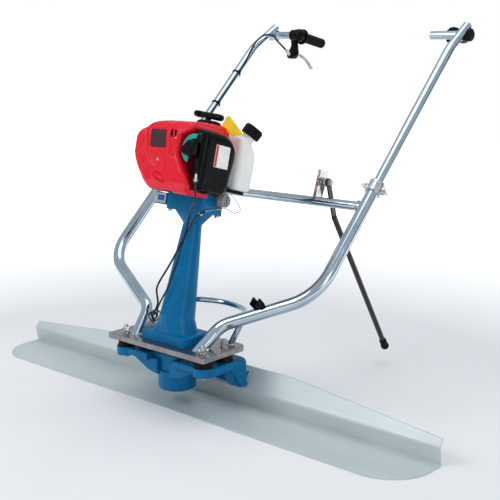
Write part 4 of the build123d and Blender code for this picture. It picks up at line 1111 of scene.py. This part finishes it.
def make_floor():
    """Plain square floor under the machine."""
    half = 7.0
    mesh = bpy.data.meshes.new("floor")
    corners = [(-half, -half, 0), (half, -half, 0), (half, half, 0), (-half, half, 0)]
    mesh.from_pydata(corners, [], [(0, 1, 2, 3)])
    mesh.materials.append(floor_finish("floor_pale"))
    linked("floor", mesh)


def make_studio():
    """White backdrop for the camera, and a room with a dark horizon for reflections and soft light."""
    world = bpy.data.worlds.new("studio")
    bpy.context.scene.world = world
    world.use_nodes = True
    tree = world.node_tree
    background = tree.nodes["Background"]
    coords = add_node(tree, "TexCoord")
    separate = add_node(tree, "SeparateXYZ")
    half = add_node(tree, "MapRange", From_Min=-1)
    ramp = add_node(tree, "ValToRGB")
    first, last = ramp.color_ramp.elements
    first.color = (0.30, 0.31, 0.33, 1)
    last.color = (0.72, 0.80, 0.90, 1)
    for position, colour in ((0.46, (0.12, 0.13, 0.15, 1)), (0.53, (0.16, 0.17, 0.19, 1)),
                             (0.60, (0.9, 0.93, 0.97, 1))):
        ramp.color_ramp.elements.new(position).color = colour
    seen = add_node(tree, "LightPath").outputs["Is Camera Ray"]
    mix = add_node(tree, "MixRGB", Color2=(1, 1, 1, 1))
    strength = add_node(tree, "MapRange", To_Min=0.62, To_Max=1.0)
    for source, target in ((coords.outputs["Generated"], separate.inputs["Vector"]),
                           (separate.outputs["Z"], half.inputs["Value"]),
                           (half.outputs["Result"], ramp.inputs["Fac"]),
                           (seen, mix.inputs["Fac"]),
                           (ramp.outputs["Color"], mix.inputs["Color1"]),
                           (mix.outputs["Color"], background.inputs["Color"]),
                           (seen, strength.inputs["Value"]),
                           (strength.outputs["Result"], background.inputs["Strength"])):
        tree.links.new(source, target)


def make_lamps():
    """Large soft lamps from the front left, the right and above."""
    centre = (0, 0.2, 0.4)
    add_light("key", (-1.2, -2.6, 2.6), centre, (2.0, 1.4), 42)
    add_light("side", (3.0, -0.6, 1.6), centre, (1.2, 2.0), 14)
    add_light("top", (0.2, 0.6, 3.2), centre, (2.4, 2.4), 26)


VIEW_AZIMUTH, VIEW_PITCH = 41.17, 11.38
CAMERA_PLACE = (1.4667, -1.4427, 0.7609)
LENS_MM, SENSOR_MM = 68.1, 36


def make_camera():
    """Camera right of the blade's front and a little above the engine."""
    azimuth, pitch = radians(VIEW_AZIMUTH), radians(VIEW_PITCH)
    forward = Vector((-sin(azimuth) * cos(pitch), cos(azimuth) * cos(pitch), -sin(pitch)))
    right = Vector((cos(azimuth), sin(azimuth), 0))
    up = right.cross(forward)
    lens = bpy.data.cameras.new("camera")
    lens.sensor_width = SENSOR_MM
    lens.lens = LENS_MM
    lens.clip_start = 0.05
    camera = linked("camera", lens)
    turn = Matrix((right, up, -forward)).transposed().to_4x4()
    camera.matrix_world = Matrix.Translation(CAMERA_PLACE) @ turn
    bpy.context.scene.camera = camera


def main():
    dress_cad_nodes()
    make_engine_cover()
    make_cover_lip()
    make_cover_trim()
    make_starter_cover()
    make_starter_handle()
    make_starter_rope()
    make_air_cleaner()
    make_choke()
    make_fuel_tank()
    make_fuel_cap()
    make_tag()
    make_column_cables()
    make_throttle_cable()
    make_grip("left")
    make_grip("right")
    make_lever_bracket()
    make_throttle_lever()
    make_exciter_webs()
    make_rear_braces()
    make_bar_end()
    make_stand_foot()
    make_mount_bolts()
    make_welds()
    make_head_plate_trim()
    make_floor()
    make_studio()
    make_lamps()
    make_camera()
    bpy.context.scene.view_settings.view_transform = "Standard"


main()
